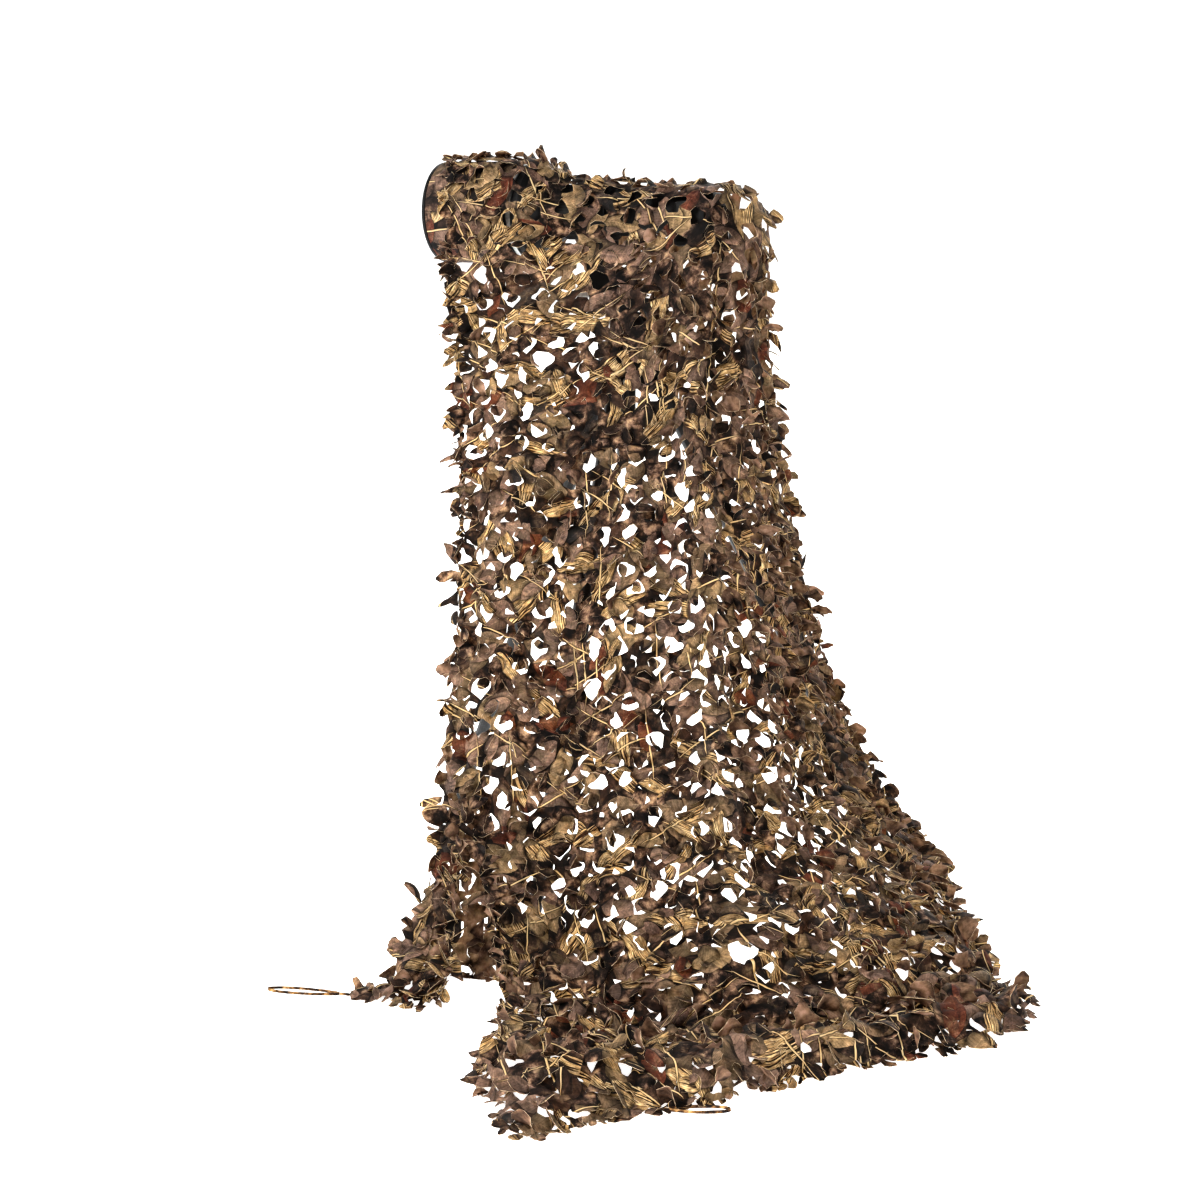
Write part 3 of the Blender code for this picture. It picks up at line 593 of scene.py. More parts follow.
ROLLS = (  # share, height of the loose roll that lies along the hem
    (0.00, 0.006),
    (0.20, 0.006),
    (0.30, 0.018),
    (0.40, 0.034),
    (0.60, 0.036),
    (0.80, 0.034),
    (1.00, 0.020),
)
FLAP_ROW, FLAP_COLUMNS = 19 * REFINE, 4 * REFINE  # where the turned-back flap starts, and its steps
FLAP_FLOOR = ((-0.366, -0.598), (-0.300, -0.530), (-0.235, -0.548), (-0.130, -0.566))


def rail(table, share):
    """The point of a table's smooth curve at this share: a cubic through its rows."""
    rows = [(row[0], Vector(row[1:])) for row in table]
    k = max(i for i in range(len(rows) - 1) if i == 0 or rows[i][0] <= share)
    (s0, p0), (s1, p1) = rows[k], rows[k + 1]
    before = rows[k - 1] if k else rows[k]
    after = rows[k + 2] if k + 2 < len(rows) else rows[k + 1]
    step = s1 - s0
    m0 = (p1 - before[1]) / (s1 - before[0]) * step
    m1 = (after[1] - p0) / (after[0] - s0) * step
    t = (share - s0) / step
    return (
        p0 * (2 * t**3 - 3 * t**2 + 1)
        + m0 * (t**3 - 2 * t**2 + t)
        + p1 * (3 * t**2 - 2 * t**3)
        + m1 * (t**3 - t**2)
    )


def straight(table, value):
    """A table's row at this value, read on straight lines between rows."""
    rows = sorted(table)
    value = min(max(value, rows[0][0]), rows[-1][0])
    for low, high in zip(rows, rows[1:]):
        if value <= high[0]:
            t = (value - low[0]) / (high[0] - low[0])
            return [a + (b - a) * t for a, b in zip(low[1:], high[1:])]
    return list(rows[-1][1:])


def clamp(t):
    return min(max(t, 0.0), 1.0)


def ease(t):
    t = clamp(t)
    return t * t * (3 - 2 * t)


def ridge(share):
    """The cloth's highest line: its point, the ways outward and to its near side, half width and height."""
    if share <= LENS_SHARE:
        station = STATIONS[0] + (STATIONS[1] - STATIONS[0]) * share / LENS_SHARE
        width, height = straight(OVER, station)
        return LENS_FORWARD * station + UP * (LENS_Z + height), UP, LENS_NEAR, width, height
    x, y, z, width = rail(RIDGE, share)
    ahead = rail(RIDGE, min(share + 0.01, 1.0)) - rail(RIDGE, share - 0.01)
    near = level_way(244.2 + 30 * ease((share - LENS_SHARE) / 0.2))
    out = near.cross(ahead.xyz).normalized()
    height = 0.012 + 0.033 * (1 - ease((share - LENS_SHARE) / 0.03))
    return Vector((x, y, z)), out, near, width, height


def fold_height(share, drop):
    """How far the hanging folds stand out, drop being 0 at the lens and 1 at the knee."""
    total = 0.0
    for centre, half, top, knee in FOLDS:
        total += math.exp(-(((share - centre) / half) ** 2)) * (top + (knee - top) * ease(drop))
    return total


def column(share):
    """The cloth's points from its back hem, over the ridge and down the near side, to its front hem."""
    top, out, near, width, height = ridge(share)
    centre = top - out * height
    slant = HEM_SLANT * max(0, 1 - share / SLANT_SHARE)
    arc = []
    for i in range(ARC_ROWS + 1):
        angle = math.pi * (i / ARC_ROWS - 0.5)
        back = -LENS_FORWARD * slant * max(0, math.sin(angle))
        arc.append(centre + out * height * math.cos(angle) + near * width * math.sin(angle) + back)
    hem = rail(BACK_HEM, share)
    points = [hem.lerp(arc[0], i / BACK_ROWS) for i in range(BACK_ROWS)] + arc
    for point in points:
        point.z = max(point.z, FLOOR)
    knots = [arc[-1], rail(KNEE, share), rail(TOUCH, share), rail(HEM, share)]
    lengths = [0.0]
    for a, b in zip(knots, knots[1:]):
        lengths.append(lengths[-1] + (b - a).length)
    path = [(at, *p) for at, p in zip(lengths, knots)]
    for i in range(1, FALL_ROWS + 1):
        travel = lengths[2] * i / FALL_ROWS
        point = rail(path, travel)
        drop = travel / lengths[1]
        slack = math.sin(math.pi * min(drop, 1.0)) * 0.030 * (1 - share)
        fade = 1 - ease((travel - lengths[1]) / (lengths[2] - lengths[1]))
        stand_out = fold_height(share, drop) * (0.25 + 0.75 * fade) * min(1, 4 * drop)
        point += Vector((point.x, point.y - 0.15, 0)).normalized() * (stand_out - slack)
        point.z = max(point.z, FLOOR)
        points.append(point)
    points[-1].z = max(knots[2].z, FLOOR)
    (roll,) = straight(ROLLS, share)
    for i in range(1, FLOOR_ROWS + 1):
        t = i / FLOOR_ROWS
        point = rail(path, lengths[2] + (lengths[3] - lengths[2]) * t)
        bump = roll * math.sin(math.pi * t**1.6) ** 2
        point.z = max(knots[2].z + (knots[3].z - knots[2].z) * t, FLOOR) + bump
        points.append(point)
    return points


def turned_back(edge):
    """The left side's last stretch, folded back behind the front: a three-cornered flap down to the floor."""
    last = BACK_ROWS + ARC_ROWS + FALL_ROWS
    floor_line = [(i / 3, x, y, FLOOR) for i, (x, y) in enumerate(FLAP_FLOOR)]
    tip, start, end = edge[FLAP_ROW], rail(floor_line, 0.0), rail(floor_line, 1.0)
    strips = []
    for i in range(1, FLAP_COLUMNS + 1):
        t = i / FLAP_COLUMNS
        bow = rail(floor_line, t) - start.lerp(end, t)
        strip = []
        for row in range(FLAP_ROW, last + 1):
            share = (row - FLAP_ROW) / (last - FLAP_ROW)
            hem = tip.lerp(end, share)
            hem.z = edge[row].z
            strip.append(edge[row].lerp(hem, t) + bow * share)
        strips.append(strip)
    return strips


NOISE_SEED = 7
noise.seed_set(NOISE_SEED)  # noise_vector would otherwise start from the clock
drape = bmesh.new()
grid = [[drape.verts.new(point + STAND) for point in column(i / COLUMNS)] for i in range(COLUMNS + 1)]
strips = [grid[0][FLAP_ROW : BACK_ROWS + ARC_ROWS + FALL_ROWS + 1]]
for strip in turned_back(column(0.0)):
    strips.append([strips[0][0]] + [drape.verts.new(point + STAND) for point in strip[1:]])
for left, right in zip(grid, grid[1:]):
    for j in range(len(left) - 1):
        drape.faces.new((left[j], left[j + 1], right[j + 1]))
        drape.faces.new((left[j], right[j + 1], right[j]))
for left, right in zip(strips, strips[1:]):
    drape.faces.new((left[0], right[1], left[1]))
    for j in range(1, len(left) - 1):
        drape.faces.new((left[j], right[j], right[j + 1]))
        drape.faces.new((left[j], right[j + 1], left[j + 1]))
drape.verts.index_update()
hem_ends = [vert.index for vert in drape.verts if vert.is_boundary]
drape_mesh = bpy.data.meshes.new("draped_sheet")
drape.to_mesh(drape_mesh)
drape.free()
draped = bpy.data.objects.new("draped_sheet", drape_mesh)
bpy.context.scene.collection.objects.link(draped)

# Unwrapping with the least stretch lays the draped sheet out flat, at its real size.
drape_mesh.uv_layers.new(name="flat")
only(draped)
bpy.ops.object.mode_set(mode="EDIT")
bpy.ops.mesh.select_all(action="SELECT")
bpy.ops.uv.unwrap(method="MINIMUM_STRETCH", iterations=20, margin=0)
bpy.ops.object.mode_set(mode="OBJECT")
corners = [tuple(face.vertices) for face in drape_mesh.polygons]
hung = np.array([v.co for v in drape_mesh.vertices])
hung_out = np.array([v.normal for v in drape_mesh.vertices])
laid = np.zeros((len(hung), 3))
for face in drape_mesh.polygons:
    for loop_index, vertex in zip(face.loop_indices, face.vertices):
        laid[vertex, :2] = drape_mesh.uv_layers["flat"].data[loop_index].uv
bpy.data.objects.remove(draped)


def area_of(points):
    """The area of the sheet's triangles with their corners at these points."""
    a, b, c = (points[[corner[k] for corner in corners]] for k in range(3))
    return np.linalg.norm(np.cross(b - a, c - a), axis=1).sum() / 2


laid *= math.sqrt(area_of(hung) / area_of(laid))
# The flat cloth is turned so that its left-hand side, from the lens to the knee, runs down it.
rows_in_all = BACK_ROWS + ARC_ROWS + FALL_ROWS + FLOOR_ROWS + 1
side_top = laid[12 * rows_in_all + BACK_ROWS + ARC_ROWS]
side_low = laid[12 * rows_in_all + BACK_ROWS + ARC_ROWS + 12 * REFINE]
turn = math.atan2(side_low[0] - side_top[0], side_top[1] - side_low[1])
laid[:, :2] = laid[:, :2] @ np.array([[math.cos(turn), -math.sin(turn)], [math.sin(turn), math.cos(turn)]])
laid = [Vector(point) for point in laid]
hung = [Vector(point) for point in hung]
hung_out = [Vector(point) for point in hung_out]
flat_sheet = BVHTree.FromPolygons(laid, corners)
low_corner = [min(point[k] for point in laid) for k in range(2)]
high_corner = [max(point[k] for point in laid) for k in range(2)]
hem_places = KDTree(len(hem_ends))
for index in hem_ends:
    hem_places.insert(laid[index], index)
hem_places.balance()


CRUMPLES = ((14, 0.007), (34, 0.004))  # to a metre, height
HEAP_TOP = 0.10  # below this the cloth lies heaped on the floor
OVER_LENS = 1.05  # above this it lies on the lens


def on_cloth(x, y):
    """Whether this point of the cutting table lies on the cloth."""
    return flat_sheet.ray_cast(Vector((x, y, 1)), Vector((0, 0, -1)))[0] is not None


def wraps_leg(far):
    """Whether the cloth here, from the stand's axis, lies round the right leg."""
    return far.x > 0.16 and far.y > -0.10


def hang(x, y, lift=0.0):
    """The nearest point of the flat cloth, where it hangs, and its outward normal there."""
    spot, _, index, _ = flat_sheet.find_nearest(Vector((x, y, 0)))
    a, b, c = corners[index]
    table = (laid[a], laid[b], laid[c])
    place = barycentric_transform(spot, *table, hung[a], hung[b], hung[c])
    out = barycentric_transform(spot, *table, hung_out[a], hung_out[b], hung_out[c]).normalized()
    # Soft crumples, some 7 cm and 3 cm apart. Over the lens, the leg and the floor they only stand outwards,
    # and on the floor they are deeper, because the cloth's spare length lies heaped there.
    (wide, wide_high), (fine, fine_high) = CRUMPLES
    height = wide_high * noise.noise(spot * wide) + fine_high * noise.noise(spot * fine + UP)
    far = place - STAND
    if place.z > OVER_LENS or wraps_leg(far):
        height = abs(height)
        lift = max(lift, 0)
    heaped = clamp((HEAP_TOP - place.z) / 0.07)
    roll = Vector((math.atan2(far.x, -far.y) * 2.4, far.xy.length * 12, 0))
    rolls = 0.066 * abs(noise.noise(roll)) + 0.012 * abs(noise.noise(spot * 26))
    inland = min(hem_places.find(spot)[2] / 0.06, 1)
    height += heaped * (abs(height) - height + rolls * inland)
    # Above the heap the falling cloth bellies out over it, which leaves a dark crease along the floor.
    bellied = math.exp(-(((place.z - 0.105) / 0.038) ** 2)) * clamp((0.42 - far.x) / 0.15)
    bellied *= clamp((far.x + 0.30) / 0.10)
    height += 0.040 * bellied * inland * (0.6 + abs(noise.noise(Vector((far.x * 9, 4, 0)))))
    place = place + out * (height + lift)
    place.z = max(place.z, FLOOR)
    return spot, place, out


# The die cuts rounded gaps, 46 mm apart in rows 31 mm apart, each in the middle of a six-sided cell.
PITCH, ROW_PITCH = 0.046, 0.031
CELL_SIDE = ((0.023, 0.00697), (0.023, -0.00697))
CELL = ((0, 0.02403), *CELL_SIDE, (0, -0.02403), *((-x, y) for x, y in reversed(CELL_SIDE)))
GAP_HALF = (0.0129, 0.0152)  # half width and half length of a gap
RIM_CURL = 0.0075  # how far the cloth beside a gap tips out of the sheet
RIM_LEFT = 0.80  # most of the way to its cell's edge that a gap may reach
SLACK_HANGING, SLACK_LAID, SLACK_HEAPED = 0.98, 0.82, 0.66  # how far gaps are pulled open
HEAP_LEFT = -0.06  # the heap on the floor starts here, from the stand's axis
THICK = 0.0005

pick = np.random.default_rng(7)
points, faces, cloth_map, cells = [], [], [], []
known = {}


def lattice_point(x, y):
    """The index of the cell corner at this place; the die's own wander moves it a few millimetres."""
    key = (round(x, 4), round(y, 4))
    if key not in known:
        wander = noise.noise_vector(Vector((x * 21, y * 21, 3.7))) * 0.007
        spot, place, _ = hang(x + wander.x, y + wander.y)
        known[key] = len(points)
        points.append(place)
        cloth_map.append(spot.xy)
    return known[key]


ring = []
for (x0, y0), (x1, y1) in zip(CELL, CELL[1:] + CELL[:1]):
    ring += [(x0, y0), ((x0 + x1) / 2, (y0 + y1) / 2)]
row = 0
y = high_corner[1] + ROW_PITCH
while y > low_corner[1] - ROW_PITCH:
    x = low_corner[0] - PITCH * (1 if row % 2 else 1.5)
    while x < high_corner[0] + PITCH:
        x += PITCH
        if not on_cloth(x, y):
            continue
        edge = [lattice_point(x + dx, y + dy) for dx, dy in ring]
        middle = Vector((x, y)) + Vector(pick.normal(0, 0.0017, 2))
        phase, tip = pick.uniform(0, 2 * math.pi, 2)
        _, seat, _ = hang(x, y)
        # Where the cloth lies slack on the floor, its gaps are pulled open less.
        slack = SLACK_HANGING if seat.z > HEAP_TOP else SLACK_LAID
        if seat.z < HEAP_TOP and seat.x > STAND.x + HEAP_LEFT:
            slack = SLACK_HEAPED
        size = pick.normal(slack, 0.10)
        inner, between = [], []
        for k, corner in enumerate(edge):
            bound = cloth_map[corner] - middle
            turn = math.atan2(ring[k][1], ring[k][0])
            reach = Vector((GAP_HALF[0] * math.cos(turn), GAP_HALF[1] * math.sin(turn))) * size
            reach *= 1 + 0.15 * math.sin(2 * turn + phase) + 0.25 * math.sin(3 * turn + tip)
            if reach.length > RIM_LEFT * bound.length:
                reach = bound * RIM_LEFT
            curl = RIM_CURL * math.sin(turn - tip) + 0.4 * RIM_CURL * math.sin(2 * turn + phase)
            for share, bucket in ((1.0, inner), (0.45, between)):
                at = middle + reach.lerp(bound, 1 - share)
                height = curl * share**2
                spot, place, _ = hang(at.x, at.y, height)
                bucket.append(len(points))
                points.append(place)
                cloth_map.append(spot.xy)
        for k in range(12):
            j = (k + 1) % 12
            faces.append((edge[j], edge[k], between[k], between[j]))
            faces.append((between[j], between[k], inner[k], inner[j]))
        cells.append((middle, inner))
    y -= ROW_PITCH
    row += 1



def sewn_mesh(name, points, faces, flat):
    """A new piece of cloth, whose map "cloth" holds where each point lies on the flat cloth, in metres."""
    mesh = bpy.data.meshes.new(name)
    mesh.from_pydata(points, [], faces)
    order = np.zeros(len(mesh.loops), dtype=int)
    mesh.loops.foreach_get("vertex_index", order)
    mesh.uv_layers.new(name="cloth").data.foreach_set("uv", np.array(flat)[order].ravel())
    mesh.shade_smooth()
    piece = bpy.data.objects.new(name, mesh)
    bpy.context.scene.collection.objects.link(piece)
    return piece


net_cloth = sewn_mesh("net_cloth", points, faces, cloth_map)

# Polyester oxford, printed by heat transfer with fallen leaves and dry grass: matt, and no sheen to speak
# of. Leaves, tufts and stalks are drawn at the size of real litter, in this net's own layout.
SOIL = ((0.38, "#040202"), (0.46, "#1b130f"), (0.53, "#4a382e"), (0.58, "#7a6252"), (0.66, "#a68d70"))
LEAF_COLOURS = (
    (0.00, "#3b2b23"),
    (0.12, "#7f6b55"),
    (0.27, "#735c50"),
    (0.42, "#18120e"),
    (0.54, "#a08867"),
    (0.66, "#302e2d"),
    (0.71, "#693a29"),
    (0.79, "#8a7264"),
)
GRASS_COLOURS = (
    (0.38, "#0a0706"),
    (0.46, "#3c2a1c"),
    (0.50, "#a8885f"),
    (0.545, "#e6cca0"),
    (0.59, "#4b3423"),
    (0.66, "#bd9d70"),
)
LITTER = (  # kind, pieces to a metre, turn of the layer, share of places, half length, half width
    ("leaf", 15, 0.4, 0.80, 0.048, 0.022),
    ("grass", 13, 1.1, 0.45, 0.060, 0.017),
    ("leaf", 20, 2.1, 0.55, 0.036, 0.016),
    ("grass", 18, 3.3, 0.30, 0.046, 0.011),
    ("leaf", 24, 4.0, 0.30, 0.027, 0.012),
)
STALKS = ((0.5, 85, 8, 0.09), (1.7, 78, 7, 0.11), (2.6, 92, 9, 0.08))  # turn, across and along a metre, share
LEAF_SHADOW, STALK_SHADOW = (0.006, 0.85, "#0d0806"), (0.14, 0.8, "#150e09")  # width, strength, colour
BEND, SWAY = (0.03, 0.03, 0), (0.014, 0.014, 0)  # how far leaves, and stalks, stray from straight rows


def scattered(tree, sheet, per_metre):
    """Pieces strewn over the sheet: their spots, three chances each, and the way from the middle."""
    spots = add(tree, "ShaderNodeTexVoronoi", {"Vector": sheet, "Scale": per_metre}, voronoi_dimensions="2D")
    chance = add(tree, "ShaderNodeSeparateColor", {0: spots.outputs["Color"]}).outputs
    away = add(tree, "ShaderNodeVectorMath", {0: sheet, 1: spots.outputs["Position"]}, operation="SUBTRACT")
    return spots, chance, away.outputs[0]


def outlined(tree, at, taper, chance, share, shadow, below):
    """A pointed oval: x and y on it, the same without sign, how deep inside it, whether it is there at all,
    and the colour below it with its soft shadow."""
    x, y, _ = add(tree, "ShaderNodeSeparateXYZ", {0: at}).outputs
    square = add(tree, "ShaderNodeMath", {0: x, 1: x}, operation="MULTIPLY").outputs[0]
    taper = {0: square, 1: taper[0], 2: taper[1]}
    half = add(tree, "ShaderNodeMath", taper, operation="MULTIPLY_ADD").outputs[0]
    side = add(tree, "ShaderNodeMath", {0: y}, operation="ABSOLUTE").outputs[0]
    depth = add(tree, "ShaderNodeMath", {0: half, 1: side}, operation="SUBTRACT").outputs[0]
    there = add(tree, "ShaderNodeMath", {0: chance, 1: share}, operation="LESS_THAN").outputs[0]
    wide, strength, code = shadow
    near = add(tree, "ShaderNodeMapRange", {0: depth, 1: -wide, 2: 0.0, 3: 0.0, 4: strength}).outputs[0]
    under = add(tree, "ShaderNodeMath", {0: near, 1: there}, operation="MULTIPLY").outputs[0]
    below = add(tree, "ShaderNodeMix", {0: under, 6: below, 7: linear(code)}, data_type="RGBA").outputs[2]
    return x, y, side, depth, there, below


def laid_over(tree, below, tint, tone, depth, soft, there):
    """The colour once a piece of this tint and tone lies on it, with an edge as soft as this."""
    piece = add(tree, "ShaderNodeVectorMath", {0: tint, "Scale": tone}, operation="SCALE").outputs[0]
    edge = add(tree, "ShaderNodeMapRange", {0: depth, 1: 0.0, 2: soft}).outputs[0]
    cover = add(tree, "ShaderNodeMath", {0: edge, 1: there}, operation="MULTIPLY").outputs[0]
    return add(tree, "ShaderNodeMix", {0: cover, 6: below, 7: piece}, data_type="RGBA").outputs[2]


def print_litter(tree, shader):
    """Links the printed litter's colour to the shader. The piece's map "cloth" is in metres."""
    place = add(tree, "ShaderNodeUVMap", uv_map="cloth").outputs[0]
    wander = add(tree, "ShaderNodeTexNoise", {"Vector": place, "Scale": 12, "Detail": 2}).outputs[1]
    bent = add(tree, "ShaderNodeVectorMath", {0: wander, 1: BEND, 2: place}, operation="MULTIPLY_ADD")
    bent = bent.outputs[0]
    swayed = add(tree, "ShaderNodeVectorMath", {0: wander, 1: SWAY, 2: place}, operation="MULTIPLY_ADD")
    swayed = swayed.outputs[0]
    mottle = add(tree, "ShaderNodeTexNoise", {"Vector": bent, "Scale": 42, "Detail": 6, "Roughness": 0.66})
    soil = add(tree, "ShaderNodeValToRGB", {0: mottle.outputs[0]}, SOIL).outputs[0]
    fleck = add(tree, "ShaderNodeTexNoise", {"Vector": place, "Scale": 95, "Detail": 4, "Roughness": 0.7})
    fleck = {0: fleck.outputs[0], 1: 0.36, 2: 0.64, 3: 0.45, 4: 1.30}
    fleck = add(tree, "ShaderNodeMapRange", fleck).outputs[0]
    colour = soil
    for kind, per_metre, turned, share, length, width in LITTER:
        layer = {0: bent, 1: (turned, turned, 0), 2: (0, 0, turned)}
        sheet = add(tree, "ShaderNodeMapping", layer).outputs[0]
        spots, chance, away = scattered(tree, sheet, per_metre)
        angle = add(tree, "ShaderNodeMath", {0: chance[2], 1: 6.28}, operation="MULTIPLY").outputs[0]
        spun = add(tree, "ShaderNodeVectorRotate", {0: away, "Angle": angle}, rotation_type="Z_AXIS")
        spun = spun.outputs[0]
        taper = (-width / length**2, width)
        found = outlined(tree, spun, taper, chance[0], share, LEAF_SHADOW, colour)
        x, y, side, depth, there, colour = found
        if kind == "leaf":
            # A leaf: one side lit and one in shade, a pale rib, and veins 5 mm apart that slant from it.
            tint = add(tree, "ShaderNodeValToRGB", {0: chance[1]}, LEAF_COLOURS)
            tint.color_ramp.interpolation = "CONSTANT"
            slant = add(tree, "ShaderNodeMath", {0: side, 1: 0.8, 2: x}, operation="MULTIPLY_ADD").outputs[0]
            run = add(tree, "ShaderNodeMath", {0: slant, 1: 1250}, operation="MULTIPLY").outputs[0]
            veins = add(tree, "ShaderNodeMath", {0: run}, operation="SINE").outputs[0]
            tone = add(tree, "ShaderNodeMapRange", {0: veins, 1: 0.5, 2: 1.0, 3: 1.0, 4: 0.72}).outputs[0]
            for value, ends in ((y, (-width, width, 0.42, 1.30)), (side, (0.0, 0.0012, 1.5, 1.0))):
                part = add(tree, "ShaderNodeMapRange", {0: value, **dict(enumerate(ends, 1))}).outputs[0]
                tone = add(tree, "ShaderNodeMath", {0: tone, 1: part}, operation="MULTIPLY").outputs[0]
            # Its colour is blotched by the soil's own browns.
            blotch = {0: 0.34, 6: tint.outputs[0], 7: soil}
            tint = add(tree, "ShaderNodeMix", blotch, data_type="RGBA").outputs[2]
        else:
            # A tuft of grass: fibres 2 to 3 mm apart that run along it.
            spread = {0: spun, 1: (16, 430, 0), 2: spots.outputs["Color"]}
            fibres = add(tree, "ShaderNodeVectorMath", spread, operation="MULTIPLY_ADD").outputs[0]
            strands = add(tree, "ShaderNodeTexNoise", {"Vector": fibres, "Scale": 1, "Detail": 2}).outputs[0]
            tint = add(tree, "ShaderNodeValToRGB", {0: strands}, GRASS_COLOURS).outputs[0]
            tone = add(tree, "ShaderNodeMapRange", {0: y, 1: -width, 2: width, 3: 0.6, 4: 1.1}).outputs[0]
        tone = add(tree, "ShaderNodeMath", {0: tone, 1: fleck}, operation="MULTIPLY").outputs[0]
        colour = laid_over(tree, colour, tint, tone, depth, 0.0006, there)
    for turned, across, along, share in STALKS:
        # A stalk: straw-coloured, straight and thin, lit along one side.
        layer = {0: swayed, 1: (turned, turned, 0), 2: (0, 0, turned), 3: (1 / along, 1 / across, 1)}
        sheet = add(tree, "ShaderNodeMapping", layer, vector_type="TEXTURE").outputs[0]
        _, chance, away = scattered(tree, sheet, 1)
        found = outlined(tree, away, (-0.5, 0.11), chance[0], share, STALK_SHADOW, colour)
        _, y, _, depth, there, colour = found
        tone = add(tree, "ShaderNodeMapRange", {0: y, 1: -0.11, 2: 0.09, 3: 0.5, 4: 1.0}).outputs[0]
        colour = laid_over(tree, colour, linear("#d2b88e")[:3], tone, depth, 0.03, there)
    tree.links.new(colour, shader.inputs["Base Color"])
    # Creases from folding, a few millimetres wide. The 0.3 mm weave is far too fine to show.
    crease = add(tree, "ShaderNodeTexNoise", {"Vector": place, "Scale": 90, "Detail": 3}).outputs[0]
    relief = add(tree, "ShaderNodeBump", {"Strength": 0.4, "Distance": 0.002, "Height": crease})
    tree.links.new(relief.outputs[0], shader.inputs["Normal"])


# Thin cloth glows a little when it is lit from behind.
THIN = {"Subsurface_Weight": 1.0, "Subsurface_Radius": (1.0, 0.92, 0.80), "Subsurface_Scale": 0.0023}
printed_polyester, tree, shader = finish("printed_polyester", "#735a4a", 0.8, Specular_IOR_Level=0.25, **THIN)
print_litter(tree, shader)

# The reverse isn't printed: plain taupe cloth, on which a little of the print's dark shows through.
through = {"Scale": 38, "Detail": 5, "Roughness": 0.6}
taupe = ((0.36, "#2c2019"), (0.47, "#58453a"), (0.56, "#77604f"), (0.66, "#93796a"))
thin = {"Specular_IOR_Level": 0.2, **THIN}
plain_reverse = speckled("plain_reverse", "#6b5442", 0.85, through, taupe, "cloth", **thin)[0]

# Cut edges show the pale core of the yarn.
fray = {"Scale": 160, "Detail": 2}
cut_edge = speckled("cut_edge", "#b79b7e", 0.85, fray, ((0.4, "#86705a"), (0.6, "#dcc8a8")), "cloth")[0]

CLOTH_FINISHES = (printed_polyester, plain_reverse, cut_edge)


def give_thickness(piece):
    """Makes a piece of single faces real cloth, with its print outside, its reverse inside and cut edges."""
    for made in CLOTH_FINISHES:
        piece.data.materials.append(made)
    thicken(piece, THICK, 0, reverse=1, rim=2)


give_thickness(net_cloth)

# The hood's stretch cloth carries the same litter. Stretch cloth has a black backing.
printed_stretch, tree, shader = finish("printed_stretch", "#5c4636", 0.7, Specular_IOR_Level=0.3)
print_litter(tree, shader)
# The tape's print is too small to be cut from the litter: tan straw with brown blots 12 mm apart.
blots = {"Scale": 80, "Detail": 4, "Roughness": 0.6}
straw = ((0.40, "#150d08"), (0.48, "#4c3420"), (0.55, "#8a6942"), (0.66, "#c4a16f"))
printed_tape = speckled("printed_tape", "#8a6f4e", 0.75, blots, straw, "cloth", Specular_IOR_Level=0.3)[0]
knit = {"Scale": 500, "Detail": 1}
black = ((0.4, "#0e0d0d"), (0.6, "#1e1c1b"))
plain_lining = speckled("plain_lining", "#141312", 0.9, knit, black, "cloth")[0]

# ---- Leaf flaps --------------------------------------------------------------------------------------
# Each gap's cloth isn't cut away: it stays on the rim as one or two leaf-shaped flaps, which curl out of
# the sheet and droop. The hems are cut through the same leaves, so ragged strips stand off them.

ACROSS = (-1.0, -0.36, 0.36, 1.0)  # where a flap's points lie across its half width
FLAP_SHAPES = (  # share of the greatest width, from hinge to tip
    (0.60, 0.88, 1.00, 0.94, 0.70, 0.28),
    (0.80, 1.00, 0.92, 0.68, 0.38, 0.08),
    (1.00, 0.78, 0.66, 0.60, 0.52, 0.34),
    (0.45, 0.60, 0.82, 1.00, 0.80, 0.20),
)
STEPS = len(FLAP_SHAPES[0])
DROOP = 0.10  # how much more each step hangs down


